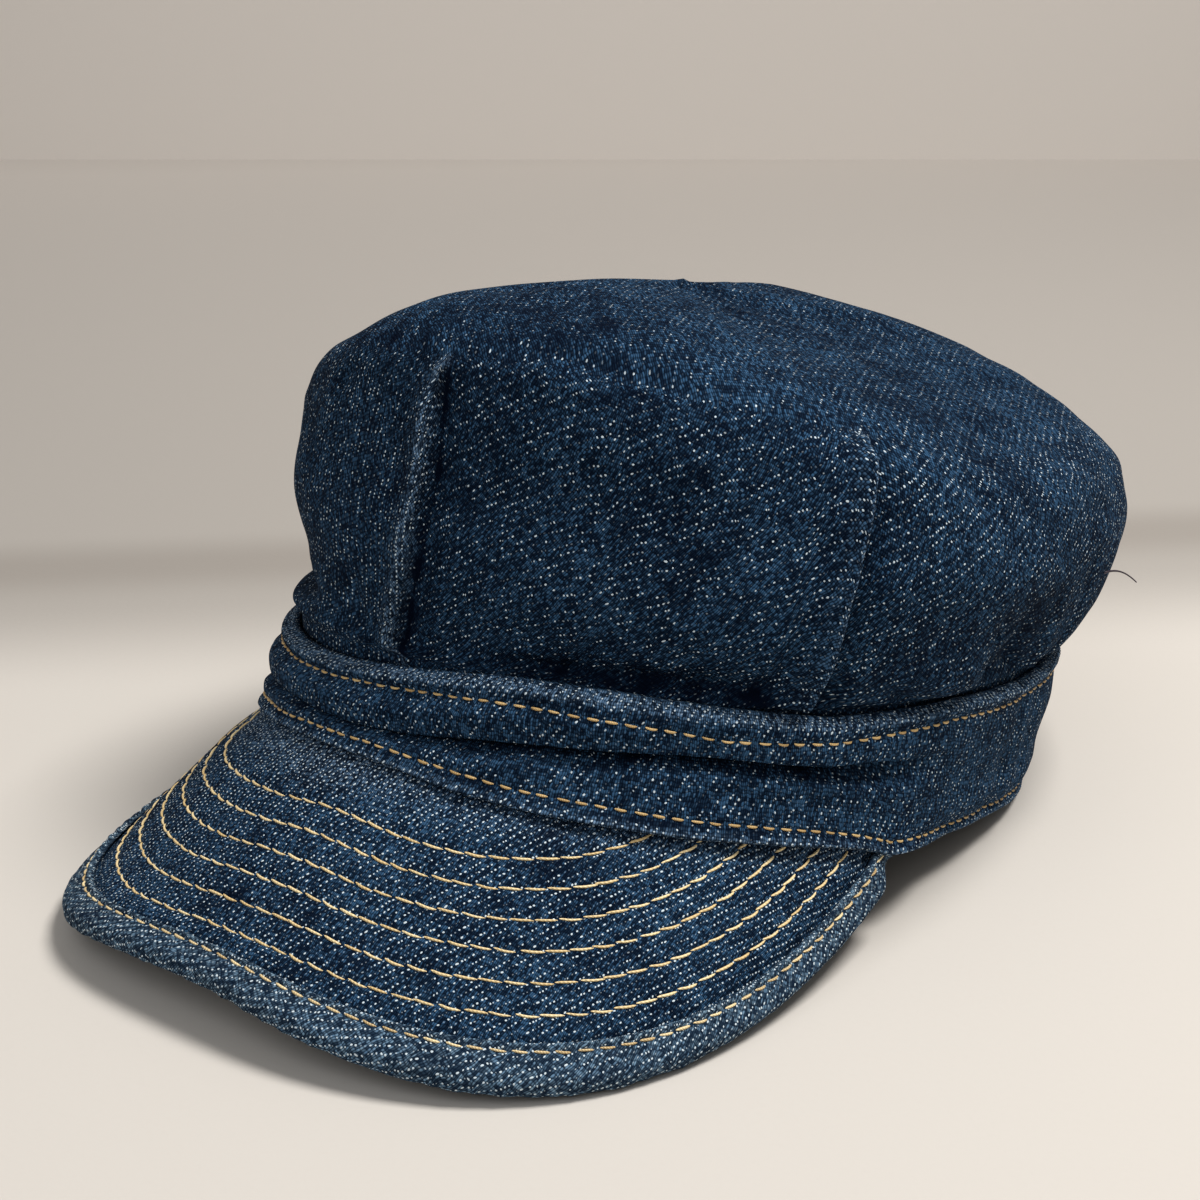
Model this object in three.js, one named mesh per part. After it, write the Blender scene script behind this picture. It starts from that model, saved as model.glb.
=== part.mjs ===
// A soft work cap in dark denim, standing on a flat surface as it stands by itself.
// Lengths are millimetres. X runs to the wearer's left, Y to the back of the head, Z up.
// The peak points along -Y. Angles round the head start at the front and run toward +X.
// The origin is the middle of the cap's outline on the surface that it stands on.
//
// The cap has four pieces, each a closed body with its own wall:
//   crown         the soft top, pleated at the front and slumped to the back
//   band          the upright strip round the head, squashed into a crease at the front
//   peak          the stiff bill, bent into an arch
//   peak_binding  the folded strip that wraps the peak's outer edge
import * as THREE from "three";

// Head opening: the oval that the lower edge of the band follows, seen from above.
const HEAD_HALF_WIDTH = 84.5;
const HEAD_FRONT = 99.8;
const HEAD_BACK = 104.6;
const HEAD_SQUARENESS = 2.24;

// Band: how high its top stands above its lower edge at the front, and above the surface at
// the sides and the back, how far its top leans in at the front, flares at the back, tapers
// at the sides and leans to the wearer's left.
const BAND_HEIGHT_FRONT = 17.5;
const BAND_TOP_SIDE = 43.6;
const BAND_TOP_BACK = 30.9;
const BAND_LEAN_FRONT = 8.5;
const BAND_TAPER_SIDE = 1.3;
const BAND_LEAN_ASIDE = 2.9;
const BAND_FLARE_BACK = 2.1;
const BAND_WALL = 2.4;
const REST_ANGLE = 122;
const STANDING_CLEARANCE = 0.05;

// Peak: how far it reaches forward and back along the head, how thick it is, and how its flat
// pattern is bent into an arch as wide as the head. Over its length the arch flares and
// flattens by shares of its width and rise.
const PEAK_LENGTH = 65.1;
const PEAK_ROOT_BACK = 42.2;
const PEAK_SQUARENESS = 2.5;
const PEAK_THICKNESS = 2.6;
const PEAK_SLOPE = 30.6;
const PEAK_SIDE_BEND = 76.1;
const ARCH_RISE = 65.1;
const ARCH_FLARE = 0.075;
const ARCH_FLATTENING = 0.258;

// Binding: a strip of cloth folded round the peak's edge.
const BINDING_WIDTH = 9.4;
const BINDING_WALL = 1.2;

// Crown: wall, height of its middle, and how deep its lower edge is tucked into the band.
const CROWN_WALL = 1.8;
const CROWN_HEIGHT = 126.7;
const CROWN_TUCK = 4;

// Pieces of cloth that lie against each other keep this much air between them.
const GAP = 0.35;

// Crown sections from the band upward. halfWidth, front and back are shares of the head
// opening, aside is a share of its half width. The rises are shares of the way from the top
// of the band to the middle of the crown, at the front, the sides and the back.
const CROWN_SECTIONS = [
  {
    halfWidth: 1.011, front: 0.885, back: 1.070, aside: 0.032,
    riseFront: 0.070, riseSide: 0.050, riseBack: 0.066,
  },
  {
    halfWidth: 1.052, front: 0.868, back: 1.167, aside: 0.061,
    riseFront: 0.267, riseSide: 0.185, riseBack: 0.192,
  },
  {
    halfWidth: 1.075, front: 0.831, back: 1.242, aside: 0.082,
    riseFront: 0.522, riseSide: 0.370, riseBack: 0.348,
  },
  {
    halfWidth: 1.048, front: 0.806, back: 1.208, aside: 0.081,
    riseFront: 0.765, riseSide: 0.548, riseBack: 0.478,
  },
  {
    halfWidth: 0.944, front: 0.764, back: 1.094, aside: 0.064,
    riseFront: 0.948, riseSide: 0.665, riseBack: 0.598,
  },
  {
    halfWidth: 0.749, front: 0.632, back: 0.891, aside: 0.053,
    riseFront: 1.065, riseSide: 0.772, riseBack: 0.749,
  },
  {
    halfWidth: 0.433, front: 0.389, back: 0.481, aside: 0.031,
    riseFront: 1.077, riseSide: 0.890, riseBack: 0.905,
  },
  {
    halfWidth: 0.0, front: 0.0, back: 0.0, aside: 0.057,
    riseFront: 1.0, riseSide: 1.0, riseBack: 1.0,
  },
];

// Pleats of the crown: the folded edge runs from seamAngle at the band to tipAngle at the
// section number tip. The cloth before the edge lies depth crown walls over the cloth after it.
const PLEATS = [
  { seamAngle: -9, tipAngle: -7, tip: 5.7, depth: 1.3 },
  { seamAngle: 51, tipAngle: 57, tip: 5.8, depth: 1.3 },
];
const PLEAT_LAP = 11;
const PLEAT_EDGE = 1.4;

// Soft hollows and swells of the crown: where they are, how far they reach round and up,
// and how deep they are, in crown walls, inward where negative.
const CROWN_FOLDS = [
  { angle: 24, height: 2.0, reachRound: 26, reachUp: 0.7, depth: -1.9 },
  { angle: 20, height: 3.1, reachRound: 30, reachUp: 0.8, depth: 0.8 },
  { angle: 74, height: 2.1, reachRound: 11, reachUp: 0.6, depth: 1.4 },
  { angle: 92, height: 2.2, reachRound: 9, reachUp: 0.9, depth: -2.4 },
  { angle: 124, height: 3.0, reachRound: 18, reachUp: 0.7, depth: -1.6 },
  { angle: -64, height: 3.0, reachRound: 20, reachUp: 0.55, depth: -2.4 },
  { angle: -18, height: 2.1, reachRound: 8, reachUp: 0.8, depth: -0.9 },
  { angle: 5, height: 7.2, reachRound: 20, reachUp: 0.7, depth: -0.9 },
  { angle: -100, height: 2.6, reachRound: 18, reachUp: 0.9, depth: -1.4 },
  { angle: 180, height: 2.4, reachRound: 22, reachUp: 0.8, depth: -1.4 },
];

// Profile of the band from its lower edge up: share of its height, then how far it stands
// out, in band walls, where it hangs plain and where the crease squashes it.
const BAND_PROFILE = [
  { height: 0.0, plain: 0.0, creased: 0.0 },
  { height: 0.1, plain: 0.2, creased: 0.3 },
  { height: 0.2, plain: 0.1, creased: 0.25 },
  { height: 0.36, plain: 0.12, creased: 0.1 },
  { height: 0.46, plain: 0.15, creased: -1.1 },
  { height: 0.52, plain: 0.15, creased: -1.0 },
  { height: 0.6, plain: 0.15, creased: 0.45 },
  { height: 0.74, plain: 0.1, creased: 0.5 },
  { height: 0.87, plain: 0.05, creased: 0.15 },
  { height: 0.95, plain: 0.25, creased: 0.3 },
  { height: 1.0, plain: 0.05, creased: 0.05 },
];
const CREASE_FROM = -118;
const CREASE_TO = 84;
const CREASE_FADE = 34;

// How finely each piece is divided.
const BAND_COLUMNS = 64;
const CROWN_COLUMNS = 60;
const CROWN_ROWS_PER_SECTION = 2.25;
const PEAK_COLUMNS = 50;
const PEAK_ROWS = 7;
const BINDING_COLUMNS = 58;

const radians = (degrees) => (degrees * Math.PI) / 180;
const mix = (a, b, share) => a + (b - a) * share;
const smooth = (from, to, value) => THREE.MathUtils.smoothstep(value, from, to);

// Half the width of the peak's flat pattern, which bends to reach both sides of the head.
const PEAK_HALF_SPAN = HEAD_HALF_WIDTH * radians(PEAK_SIDE_BEND);

// A point of a squared oval with its own reach to the front and to the back.
function ovalPoint(angle, halfWidth, front, back, squareness) {
  const side = Math.sin(angle);
  const ahead = Math.cos(angle);
  const sum = Math.abs(side) ** squareness + Math.abs(ahead) ** squareness;
  const radius = sum ** (-1 / squareness);
  const reach = ahead > 0 ? front : back;
  return new THREE.Vector2(halfWidth * radius * side, -reach * radius * ahead);
}

// A height that has set values at the front, the sides and the back of the head.
function heightRound(angle, front, side, back) {
  const ahead = Math.cos(angle);
  return side + ((front - back) / 2) * ahead + ((front + back) / 2 - side) * ahead * ahead;
}

// The bent peak: across and forward are places in the flat pattern, forward counted from the
// front of the head, and lift is the height over the upper face. Heights here start at the
// front of the head.
const archWidth = (forward) =>
  HEAD_HALF_WIDTH * (1 + (ARCH_FLARE * (forward + PEAK_ROOT_BACK)) / PEAK_LENGTH);

function archAt(across, forward) {
  const width = archWidth(forward);
  const rise = ARCH_RISE * (1 - (ARCH_FLATTENING * forward) / PEAK_LENGTH);
  const bend = across / width;
  return { x: width * Math.sin(bend), drop: rise * (1 - Math.cos(bend)) };
}

function peakFace(across, forward) {
  const slope = radians(PEAK_SLOPE);
  const arch = archAt(across, forward);
  const y = -HEAD_FRONT - forward * Math.cos(slope) + arch.drop * Math.sin(slope);
  const z = -forward * Math.sin(slope) - arch.drop * Math.cos(slope);
  return new THREE.Vector3(arch.x, y, z);
}

function peakPoint(across, forward, lift) {
  const step = 0.01;
  const here = peakFace(across, forward);
  const alongAcross = peakFace(across + step, forward).sub(here);
  const alongForward = peakFace(across, forward + step).sub(here);
  const normal = alongForward.cross(alongAcross).normalize();
  return here.addScaledVector(normal, lift);
}

// A point of the peak's flat pattern: turn from -1 to 1 round its edge, inset from the edge.
function patternPoint(turn, inset) {
  const angle = (turn * Math.PI) / 2;
  const side = Math.sin(angle);
  const ahead = Math.max(Math.cos(angle), 0);
  const sum = Math.abs(side) ** PEAK_SQUARENESS + ahead ** PEAK_SQUARENESS;
  const radius = sum ** (-1 / PEAK_SQUARENESS);
  const across = (PEAK_HALF_SPAN - inset) * radius * side;
  const forward = (PEAK_LENGTH + PEAK_ROOT_BACK - inset) * radius * ahead - PEAK_ROOT_BACK;
  return { across, forward };
}

function peakPointAt(turn, inset, lift) {
  const { across, forward } = patternPoint(turn, inset);
  return peakPoint(across, forward, lift);
}

// The peak's own edge stops short of the binding's round nose.
const NOSE_RADIUS = PEAK_THICKNESS / 2 + GAP + BINDING_WALL;

// The binding's fold from the end of its lower leg, round the edge, to the end of its upper
// leg: pairs of an outer and an inner point, each with an inset and a lift.
function bindingFold(legEnd) {
  const middle = -PEAK_THICKNESS / 2;
  const innerRadius = NOSE_RADIUS - BINDING_WALL;
  const fold = [{ inset: legEnd, angle: -90 }];
  [-90, -54, -18, 18, 54, 90].forEach((angle) => fold.push({ inset: NOSE_RADIUS, angle }));
  fold.push({ inset: legEnd, angle: 90 });
  return fold.map(({ inset, angle }) => {
    const ahead = Math.cos(radians(angle));
    const up = Math.sin(radians(angle));
    return {
      outer: { inset: inset - NOSE_RADIUS * ahead, lift: middle + NOSE_RADIUS * up },
      inner: { inset: inset - innerRadius * ahead, lift: middle + innerRadius * up },
    };
  });
}

// The cap stands on the sides of its peak and on the back of its band, so the front of the
// head is as high as the bound edge of the bent peak reaches down from it.
function findFrontRise() {
  let lowest = 0;
  for (let column = 0; column <= BINDING_COLUMNS; column += 1) {
    const turn = mix(-1, 1, column / BINDING_COLUMNS);
    bindingFold(NOSE_RADIUS).forEach(({ outer }) => {
      lowest = Math.min(lowest, peakPointAt(turn, outer.inset, outer.lift).z);
    });
  }
  return STANDING_CLEARANCE - lowest;
}

const FRONT_RISE = findFrontRise();

// Where the peak's upper face passes over a point of the plan: its place in the flat pattern.
function peakPatternAt(x, y) {
  const slope = radians(PEAK_SLOPE);
  let forward = (-HEAD_FRONT - y) / Math.cos(slope);
  let across = x;
  for (let turn = 0; turn < 40; turn += 1) {
    const width = archWidth(forward);
    across = width * Math.asin(THREE.MathUtils.clamp(x / width, -0.995, 0.995));
    const { drop } = archAt(across, forward);
    const next = (-HEAD_FRONT - y + drop * Math.sin(slope)) / Math.cos(slope);
    forward = mix(forward, next, 0.6);
  }
  return { across, forward };
}

function peakHeightAt(x, y) {
  const { across, forward } = peakPatternAt(x, y);
  return FRONT_RISE + peakFace(across, forward).z;
}

// The lower edge of the band in plan.
function rimPlan(angle) {
  return ovalPoint(angle, HEAD_HALF_WIDTH, HEAD_FRONT, HEAD_BACK, HEAD_SQUARENESS);
}

// The angle where the sides of the peak end, found by halving.
function findPeakEnd() {
  let low = radians(30);
  let high = radians(88);
  for (let turn = 0; turn < 40; turn += 1) {
    const middle = (low + high) / 2;
    const plan = rimPlan(middle);
    const { forward } = peakPatternAt(plan.x, plan.y);
    if (forward > -PEAK_ROOT_BACK) {
      low = middle;
    } else {
      high = middle;
    }
  }
  return low;
}

const PEAK_END = findPeakEnd();
const PEAK_END_PLAN = rimPlan(PEAK_END);
const PEAK_END_HEIGHT = peakHeightAt(PEAK_END_PLAN.x, PEAK_END_PLAN.y);

// The lower edge of the band: it rides on the peak at the front, comes down behind it and
// lies flat on the surface round the back of the head.
function rimPoint(angle) {
  const plan = rimPlan(angle);
  const turn = Math.abs(angle);
  const left = THREE.MathUtils.clamp((radians(REST_ANGLE) - turn) / (radians(REST_ANGLE) - PEAK_END), 0, 1);
  const height = turn < PEAK_END ? peakHeightAt(plan.x, plan.y) : PEAK_END_HEIGHT * left ** 1.5;
  return new THREE.Vector3(plan.x, plan.y, height);
}

function bandTopPoint(angle) {
  const plan = ovalPoint(
    angle,
    HEAD_HALF_WIDTH - BAND_TAPER_SIDE,
    HEAD_FRONT - BAND_LEAN_FRONT,
    HEAD_BACK + BAND_FLARE_BACK,
    HEAD_SQUARENESS,
  );
  const height = heightRound(angle, FRONT_RISE + BAND_HEIGHT_FRONT, BAND_TOP_SIDE, BAND_TOP_BACK);
  return new THREE.Vector3(plan.x + BAND_LEAN_ASIDE, plan.y, height);
}

// The level direction straight out of the head at an angle.
function outwardAt(angle) {
  const step = 0.01;
  const before = rimPlan(angle - step);
  const after = rimPlan(angle + step);
  return new THREE.Vector3(after.y - before.y, before.x - after.x, 0).normalize();
}

// A closed body between an outer and an inner grid of points: grid[along][across].
// looped joins the last column to the first. pointed gathers the last row in one point.
function clothWall(outer, inner, { looped, pointed }) {
  const positions = [];
  const triangles = [];
  const along = outer.length;
  const rows = outer[0].length;
  const numberPoint = (point) => positions.push(point.x, point.y, point.z) / 3 - 1;
  const numberGrid = (grid) => {
    const tip = pointed ? numberPoint(grid[0][rows - 1]) : -1;
    return grid.map((column) =>
      column.map((point, row) => (pointed && row === rows - 1 ? tip : numberPoint(point))),
    );
  };
  const out = numberGrid(outer);
  const back = numberGrid(inner);
  const quad = (a, b, c, d) => {
    if (c !== d) {
      triangles.push(a, c, d);
    }
    if (a !== b && b !== c) {
      triangles.push(a, b, c);
    }
  };
  const spans = looped ? along : along - 1;
  for (let column = 0; column < spans; column += 1) {
    const next = (column + 1) % along;
    for (let row = 0; row < rows - 1; row += 1) {
      quad(out[column][row], out[next][row], out[next][row + 1], out[column][row + 1]);
      quad(back[next][row], back[column][row], back[column][row + 1], back[next][row + 1]);
    }
    quad(back[column][0], back[next][0], out[next][0], out[column][0]);
    if (!pointed) {
      const top = rows - 1;
      quad(out[column][top], out[next][top], back[next][top], back[column][top]);
    }
  }
  if (!looped) {
    const end = along - 1;
    for (let row = 0; row < rows - 1; row += 1) {
      quad(back[0][row], out[0][row], out[0][row + 1], back[0][row + 1]);
      quad(out[end][row], back[end][row], back[end][row + 1], out[end][row + 1]);
    }
  }
  const geometry = new THREE.BufferGeometry();
  geometry.setAttribute("position", new THREE.Float32BufferAttribute(positions, 3));
  geometry.setIndex(triangles);
  geometry.computeVertexNormals();
  return geometry;
}

// Band: how much of the crease is left at an angle.
function creaseAt(angle) {
  const degrees = THREE.MathUtils.radToDeg(Math.atan2(Math.sin(angle), Math.cos(angle)));
  const opening = smooth(CREASE_FROM - CREASE_FADE, CREASE_FROM, degrees);
  const closing = 1 - smooth(CREASE_TO - CREASE_FADE, CREASE_TO, degrees);
  return opening * closing;
}

function makeBand() {
  const outer = [];
  const inner = [];
  for (let column = 0; column < BAND_COLUMNS; column += 1) {
    const angle = (column / BAND_COLUMNS) * 2 * Math.PI;
    const signed = angle > Math.PI ? angle - 2 * Math.PI : angle;
    const low = rimPoint(signed);
    const high = bandTopPoint(signed);
    const outward = outwardAt(signed);
    const crease = creaseAt(signed);
    const front = BAND_PROFILE.map((point) => {
      const stand = BAND_WALL * mix(point.plain, point.creased, crease);
      return low.clone().lerp(high, point.height).addScaledVector(outward, stand);
    });
    outer.push(front);
    inner.push(front.map((point) => point.clone().addScaledVector(outward, -BAND_WALL)));
  }
  return clothWall(outer, inner, { looped: true, pointed: false });
}

// Crown: the first two sections stand inside the band, the rest follow the table.
function crownSections() {
  const inset = BAND_WALL + GAP;
  const halfWidth = HEAD_HALF_WIDTH - BAND_TAPER_SIDE - inset;
  const front = HEAD_FRONT - BAND_LEAN_FRONT - inset;
  const back = HEAD_BACK + BAND_FLARE_BACK - inset;
  const bandFront = FRONT_RISE + BAND_HEIGHT_FRONT;
  const seat = (lift) => [
    halfWidth,
    front,
    back,
    BAND_LEAN_ASIDE,
    bandFront + lift,
    BAND_TOP_SIDE + lift,
    BAND_TOP_BACK + lift,
  ];
  const rows = CROWN_SECTIONS.map((section) => [
    section.halfWidth * HEAD_HALF_WIDTH,
    section.front * HEAD_FRONT,
    section.back * HEAD_BACK,
    section.aside * HEAD_HALF_WIDTH,
    mix(bandFront, CROWN_HEIGHT, section.riseFront),
    mix(BAND_TOP_SIDE, CROWN_HEIGHT, section.riseSide),
    mix(BAND_TOP_BACK, CROWN_HEIGHT, section.riseBack),
  ]);
  return [seat(-CROWN_TUCK), seat(CROWN_WALL / 2), ...rows];
}

const SECTIONS = crownSections();
const LAST_SECTION = SECTIONS.length - 1;

// A smooth curve through the sections, one value of each column at a height. The tuck below
// the first free section stays straight.
function sectionAt(height) {
  const index = Math.min(Math.floor(height), LAST_SECTION - 1);
  const share = height - index;
  const here = SECTIONS[index];
  const next = SECTIONS[index + 1];
  if (index === 0) {
    return here.map((value, column) => mix(value, next[column], share));
  }
  const past = SECTIONS[index - 1];
  const beyond = SECTIONS[index + 2];
  return here.map((value, column) => {
    const end = next[column];
    const rising = index === 1 ? end - value : (end - past[column]) / 2;
    const leaving = beyond ? (beyond[column] - value) / 2 : end - value;
    const bend = 3 * (end - value) - 2 * rising - leaving;
    const twist = rising + leaving - 2 * (end - value);
    return value + rising * share + bend * share ** 2 + twist * share ** 3;
  });
}

function crownBase(angle, height) {
  const [halfWidth, front, back, aside, riseFront, riseSide, riseBack] = sectionAt(height);
  const plan = ovalPoint(angle, halfWidth, front, back, HEAD_SQUARENESS);
  const z = heightRound(angle, riseFront, riseSide, riseBack);
  return new THREE.Vector3(plan.x + aside, plan.y, z);
}

function crownNormal(angle, height) {
  if (height >= LAST_SECTION) {
    return new THREE.Vector3(0, 0, 1);
  }
  const step = 0.004;
  const round = crownBase(angle + step, height).sub(crownBase(angle - step, height));
  const high = Math.min(height + step, LAST_SECTION);
  const up = crownBase(angle, high).sub(crownBase(angle, Math.max(height - step, 0)));
  return round.cross(up).normalize();
}

const turnBetween = (from, to) => THREE.MathUtils.euclideanModulo(to - from + 180, 360) - 180;

// The angle of a pleat's folded edge at a height.
function pleatAngle(pleat, height) {
  return mix(pleat.seamAngle, pleat.tipAngle, Math.min(height / pleat.tip, 1.3));
}

// How far the cloth stands out of the smooth crown at a place, in millimetres. One side of a
// pleat swells up to the folded edge, the other starts below it. Folds are soft swells.
function crownRelief(degrees, height) {
  const free = smooth(1.2, 2.2, height);
  let relief = 0;
  PLEATS.forEach((pleat) => {
    const from = turnBetween(pleatAngle(pleat, height), degrees);
    const fade = 1 - smooth(pleat.tip - 2.2, pleat.tip, height);
    const over = from <= 0 ? smooth(-PLEAT_LAP, 0, from) : 0;
    const under = from > 0 ? -0.7 * (1 - smooth(0, PLEAT_LAP, from)) : 0;
    relief += pleat.depth * fade * (over + under);
  });
  CROWN_FOLDS.forEach((fold) => {
    const round = turnBetween(fold.angle, degrees) / fold.reachRound;
    const up = (height - fold.height) / fold.reachUp;
    relief += fold.depth * Math.exp(-round * round - up * up);
  });
  return CROWN_WALL * relief * free;
}

// Angles of the crown's columns: even, but close together along the pleats' edges.
function crownAngles() {
  const even = Array.from({ length: CROWN_COLUMNS }, (_, column) => (column / CROWN_COLUMNS) * 360);
  const steps = [-PLEAT_LAP, -PLEAT_LAP / 2, -PLEAT_EDGE / 2, PLEAT_EDGE / 2, PLEAT_LAP / 2, PLEAT_LAP];
  const clear = PLEAT_LAP + PLEAT_EDGE;
  const kept = even.filter((angle) =>
    PLEATS.every((pleat) => Math.abs(turnBetween(pleat.seamAngle, angle)) > clear),
  );
  const extra = PLEATS.flatMap((pleat) => steps.map((step) => pleat.seamAngle + step));
  const all = [...kept, ...extra].map((angle) => THREE.MathUtils.euclideanModulo(angle, 360));
  return all.sort((a, b) => a - b);
}

// A column leans with the pleats near it, so that its points follow their edges.
function leanedAngle(seamAngle, height) {
  return PLEATS.reduce((angle, pleat) => {
    const near = Math.abs(turnBetween(pleat.seamAngle, seamAngle)) / (3 * PLEAT_LAP);
    const pull = 1 - smooth(0.4, 1, near);
    return angle + pull * (pleatAngle(pleat, height) - pleat.seamAngle);
  }, seamAngle);
}

function makeCrown() {
  const rows = Math.round((LAST_SECTION - 1) * CROWN_ROWS_PER_SECTION);
  const heights = [0];
  for (let row = 0; row <= rows; row += 1) {
    heights.push(mix(1, LAST_SECTION, row / rows));
  }
  const outer = [];
  const inner = [];
  crownAngles().forEach((seamAngle) => {
    const outside = [];
    const inside = [];
    heights.forEach((height) => {
      const degrees = leanedAngle(seamAngle, height);
      const angle = radians(degrees);
      const base = crownBase(angle, height);
      const normal = crownNormal(angle, height);
      const relief = height < LAST_SECTION ? crownRelief(degrees, height) : 0;
      outside.push(base.clone().addScaledVector(normal, relief));
      inside.push(base.clone().addScaledVector(normal, relief - CROWN_WALL));
    });
    outer.push(outside);
    inner.push(inside);
  });
  return clothWall(outer, inner, { looped: true, pointed: true });
}

// The inset at which the pattern meets the lower edge of the band, found by halving.
function rootInset(turn) {
  let low = 0;
  let high = PEAK_LENGTH * 1.3;
  for (let step = 0; step < 40; step += 1) {
    const middle = (low + high) / 2;
    const { across, forward } = patternPoint(turn, middle);
    const point = peakFace(across, forward);
    const side = Math.abs(point.x) / HEAD_HALF_WIDTH;
    const ahead = Math.max(-point.y, 0) / HEAD_FRONT;
    if (side ** HEAD_SQUARENESS + ahead ** HEAD_SQUARENESS > 1) {
      low = middle;
    } else {
      high = middle;
    }
  }
  return low;
}

const raised = (point) => point.setZ(point.z + FRONT_RISE);

function makePeak() {
  const outer = [];
  const inner = [];
  for (let column = 0; column <= PEAK_COLUMNS; column += 1) {
    const turn = mix(-1, 1, column / PEAK_COLUMNS);
    const root = rootInset(turn) - GAP;
    const shares = Array.from({ length: PEAK_ROWS + 1 }, (_, row) => row / PEAK_ROWS);
    const insets = shares.map((share) => mix(NOSE_RADIUS, root, share));
    outer.push(insets.map((inset) => raised(peakPointAt(turn, inset, 0))));
    inner.push(insets.map((inset) => raised(peakPointAt(turn, inset, -PEAK_THICKNESS))));
  }
  return clothWall(outer, inner, { looped: false, pointed: false });
}

function makeBinding() {
  const outer = [];
  const inner = [];
  for (let column = 0; column <= BINDING_COLUMNS; column += 1) {
    const turn = mix(-1, 1, column / BINDING_COLUMNS);
    const legEnd = Math.min(BINDING_WIDTH, rootInset(turn) - GAP);
    const fold = bindingFold(legEnd);
    const place = ({ inset, lift }) => raised(peakPointAt(turn, inset, lift));
    outer.push(fold.map((pair) => place(pair.outer)));
    inner.push(fold.map((pair) => place(pair.inner)));
  }
  return clothWall(outer, inner, { looped: false, pointed: false });
}

// Materials: dark indigo twill for all four pieces, the binding worn a little lighter.
const twill = (color) => new THREE.MeshStandardMaterial({ color, roughness: 0.92, metalness: 0 });

function makePiece(name, geometry, color) {
  const piece = new THREE.Mesh(geometry, twill(color));
  piece.name = name;
  return piece;
}

// The assembled cap, moved so that the middle of its outline lies over the origin.
const group = new THREE.Group();
group.add(makePiece("crown", makeCrown(), 0x1b2c45));
group.add(makePiece("band", makeBand(), 0x192840));
group.add(makePiece("peak", makePeak(), 0x182640));
group.add(makePiece("peak_binding", makeBinding(), 0x2b405c));

const outline = new THREE.Box3().setFromObject(group);
const middle = outline.getCenter(new THREE.Vector3());
group.children.forEach((piece) => piece.geometry.translate(-middle.x, -middle.y, -outline.min.z));

export default group;
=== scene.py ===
# %% [markdown]
# # A denim work cap
# A soft cap in dark indigo denim stands on a pale table: a pleated crown, a band folded into a
# crease, and an arched peak quilted with golden thread and bound at its edge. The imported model
# gives the plain solids. This lesson dresses each of them as real cloth, built from formulas,
# so that the weave, the stitches and the folds can all ask the same formulas for their place.

import bpy
import numpy as np
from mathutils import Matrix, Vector


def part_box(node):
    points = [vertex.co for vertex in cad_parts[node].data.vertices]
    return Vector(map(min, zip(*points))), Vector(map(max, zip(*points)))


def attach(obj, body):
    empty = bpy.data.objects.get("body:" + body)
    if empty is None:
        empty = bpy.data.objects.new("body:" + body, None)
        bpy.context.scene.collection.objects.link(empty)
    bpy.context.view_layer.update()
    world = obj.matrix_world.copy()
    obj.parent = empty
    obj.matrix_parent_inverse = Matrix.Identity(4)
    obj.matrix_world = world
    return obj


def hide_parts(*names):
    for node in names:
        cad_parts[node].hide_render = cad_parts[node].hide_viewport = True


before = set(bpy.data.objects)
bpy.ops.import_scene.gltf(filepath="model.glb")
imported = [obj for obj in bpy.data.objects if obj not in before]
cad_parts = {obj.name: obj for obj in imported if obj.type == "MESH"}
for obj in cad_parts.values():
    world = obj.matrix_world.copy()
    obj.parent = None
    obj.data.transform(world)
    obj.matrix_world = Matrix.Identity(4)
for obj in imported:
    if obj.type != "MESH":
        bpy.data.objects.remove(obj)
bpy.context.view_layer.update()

# %% [markdown]
# ## The head opening
# A cap starts from the oval of the head. The lower edge of the band follows it, and the crown
# is a stack of larger and smaller ovals above it. The oval could be a circle that is scaled by
# hand, but a formula lets every later piece ask where the cloth is at any angle. Angles start
# at the front and run toward the wearer's left. Lengths are worked out in millimetres, as a
# hatter measures, and become metres when a mesh is made.

# %% Soft steps and the squared oval
HEAD_HALF_WIDTH = 84.5
HEAD_FRONT = 99.8
HEAD_BACK = 104.6
HEAD_SQUARENESS = 2.24


def mix(a, b, share):
    """The value that lies the given share of the way from a to b."""
    return a + (b - a) * share


def smooth(low, high, value):
    """A soft step: 3t^2 - 2t^3 of the share t of the way from low to high."""
    share = np.clip((value - low) / (high - low), 0.0, 1.0)
    return share * share * (3.0 - 2.0 * share)


def bump(place, width):
    """A soft hump of height 1: e to the minus square of place over width."""
    return np.exp(-((place / width) ** 2))


def oval(angle, half_width, front, back):
    """A squared oval: |x|^n + |y|^n is the same all round, scaled by its reach each way."""
    side, ahead = np.sin(angle), np.cos(angle)
    radius = (np.abs(side) ** HEAD_SQUARENESS + np.abs(ahead) ** HEAD_SQUARENESS) ** (
        -1.0 / HEAD_SQUARENESS
    )
    reach = np.where(ahead > 0, front, back)
    return half_width * radius * side, -reach * radius * ahead


def height_round(angle, front, side, back):
    """A height set at the front, the sides and the back, joined by a cosine and its square."""
    ahead = np.cos(angle)
    return side + (front - back) / 2 * ahead + ((front + back) / 2 - side) * ahead**2


# %% [markdown]
# ## The bent peak
# The stiff peak is cut flat and bent into an arch. So its formula has two steps: a place in
# the flat pattern, across and forward, and then the bend. A place across becomes a turn round
# an elliptic arch as wide as the head, and the arch slopes down to the front. Bending a flat
# mesh with a modifier would work too, but then the rows of stitches could not ask for places
# on the bent cloth. Wear comes last: a hump in the pattern straightens the front edge on one
# side, one side of the peak swells, one corner stands higher, and the ends tuck in.

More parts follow.
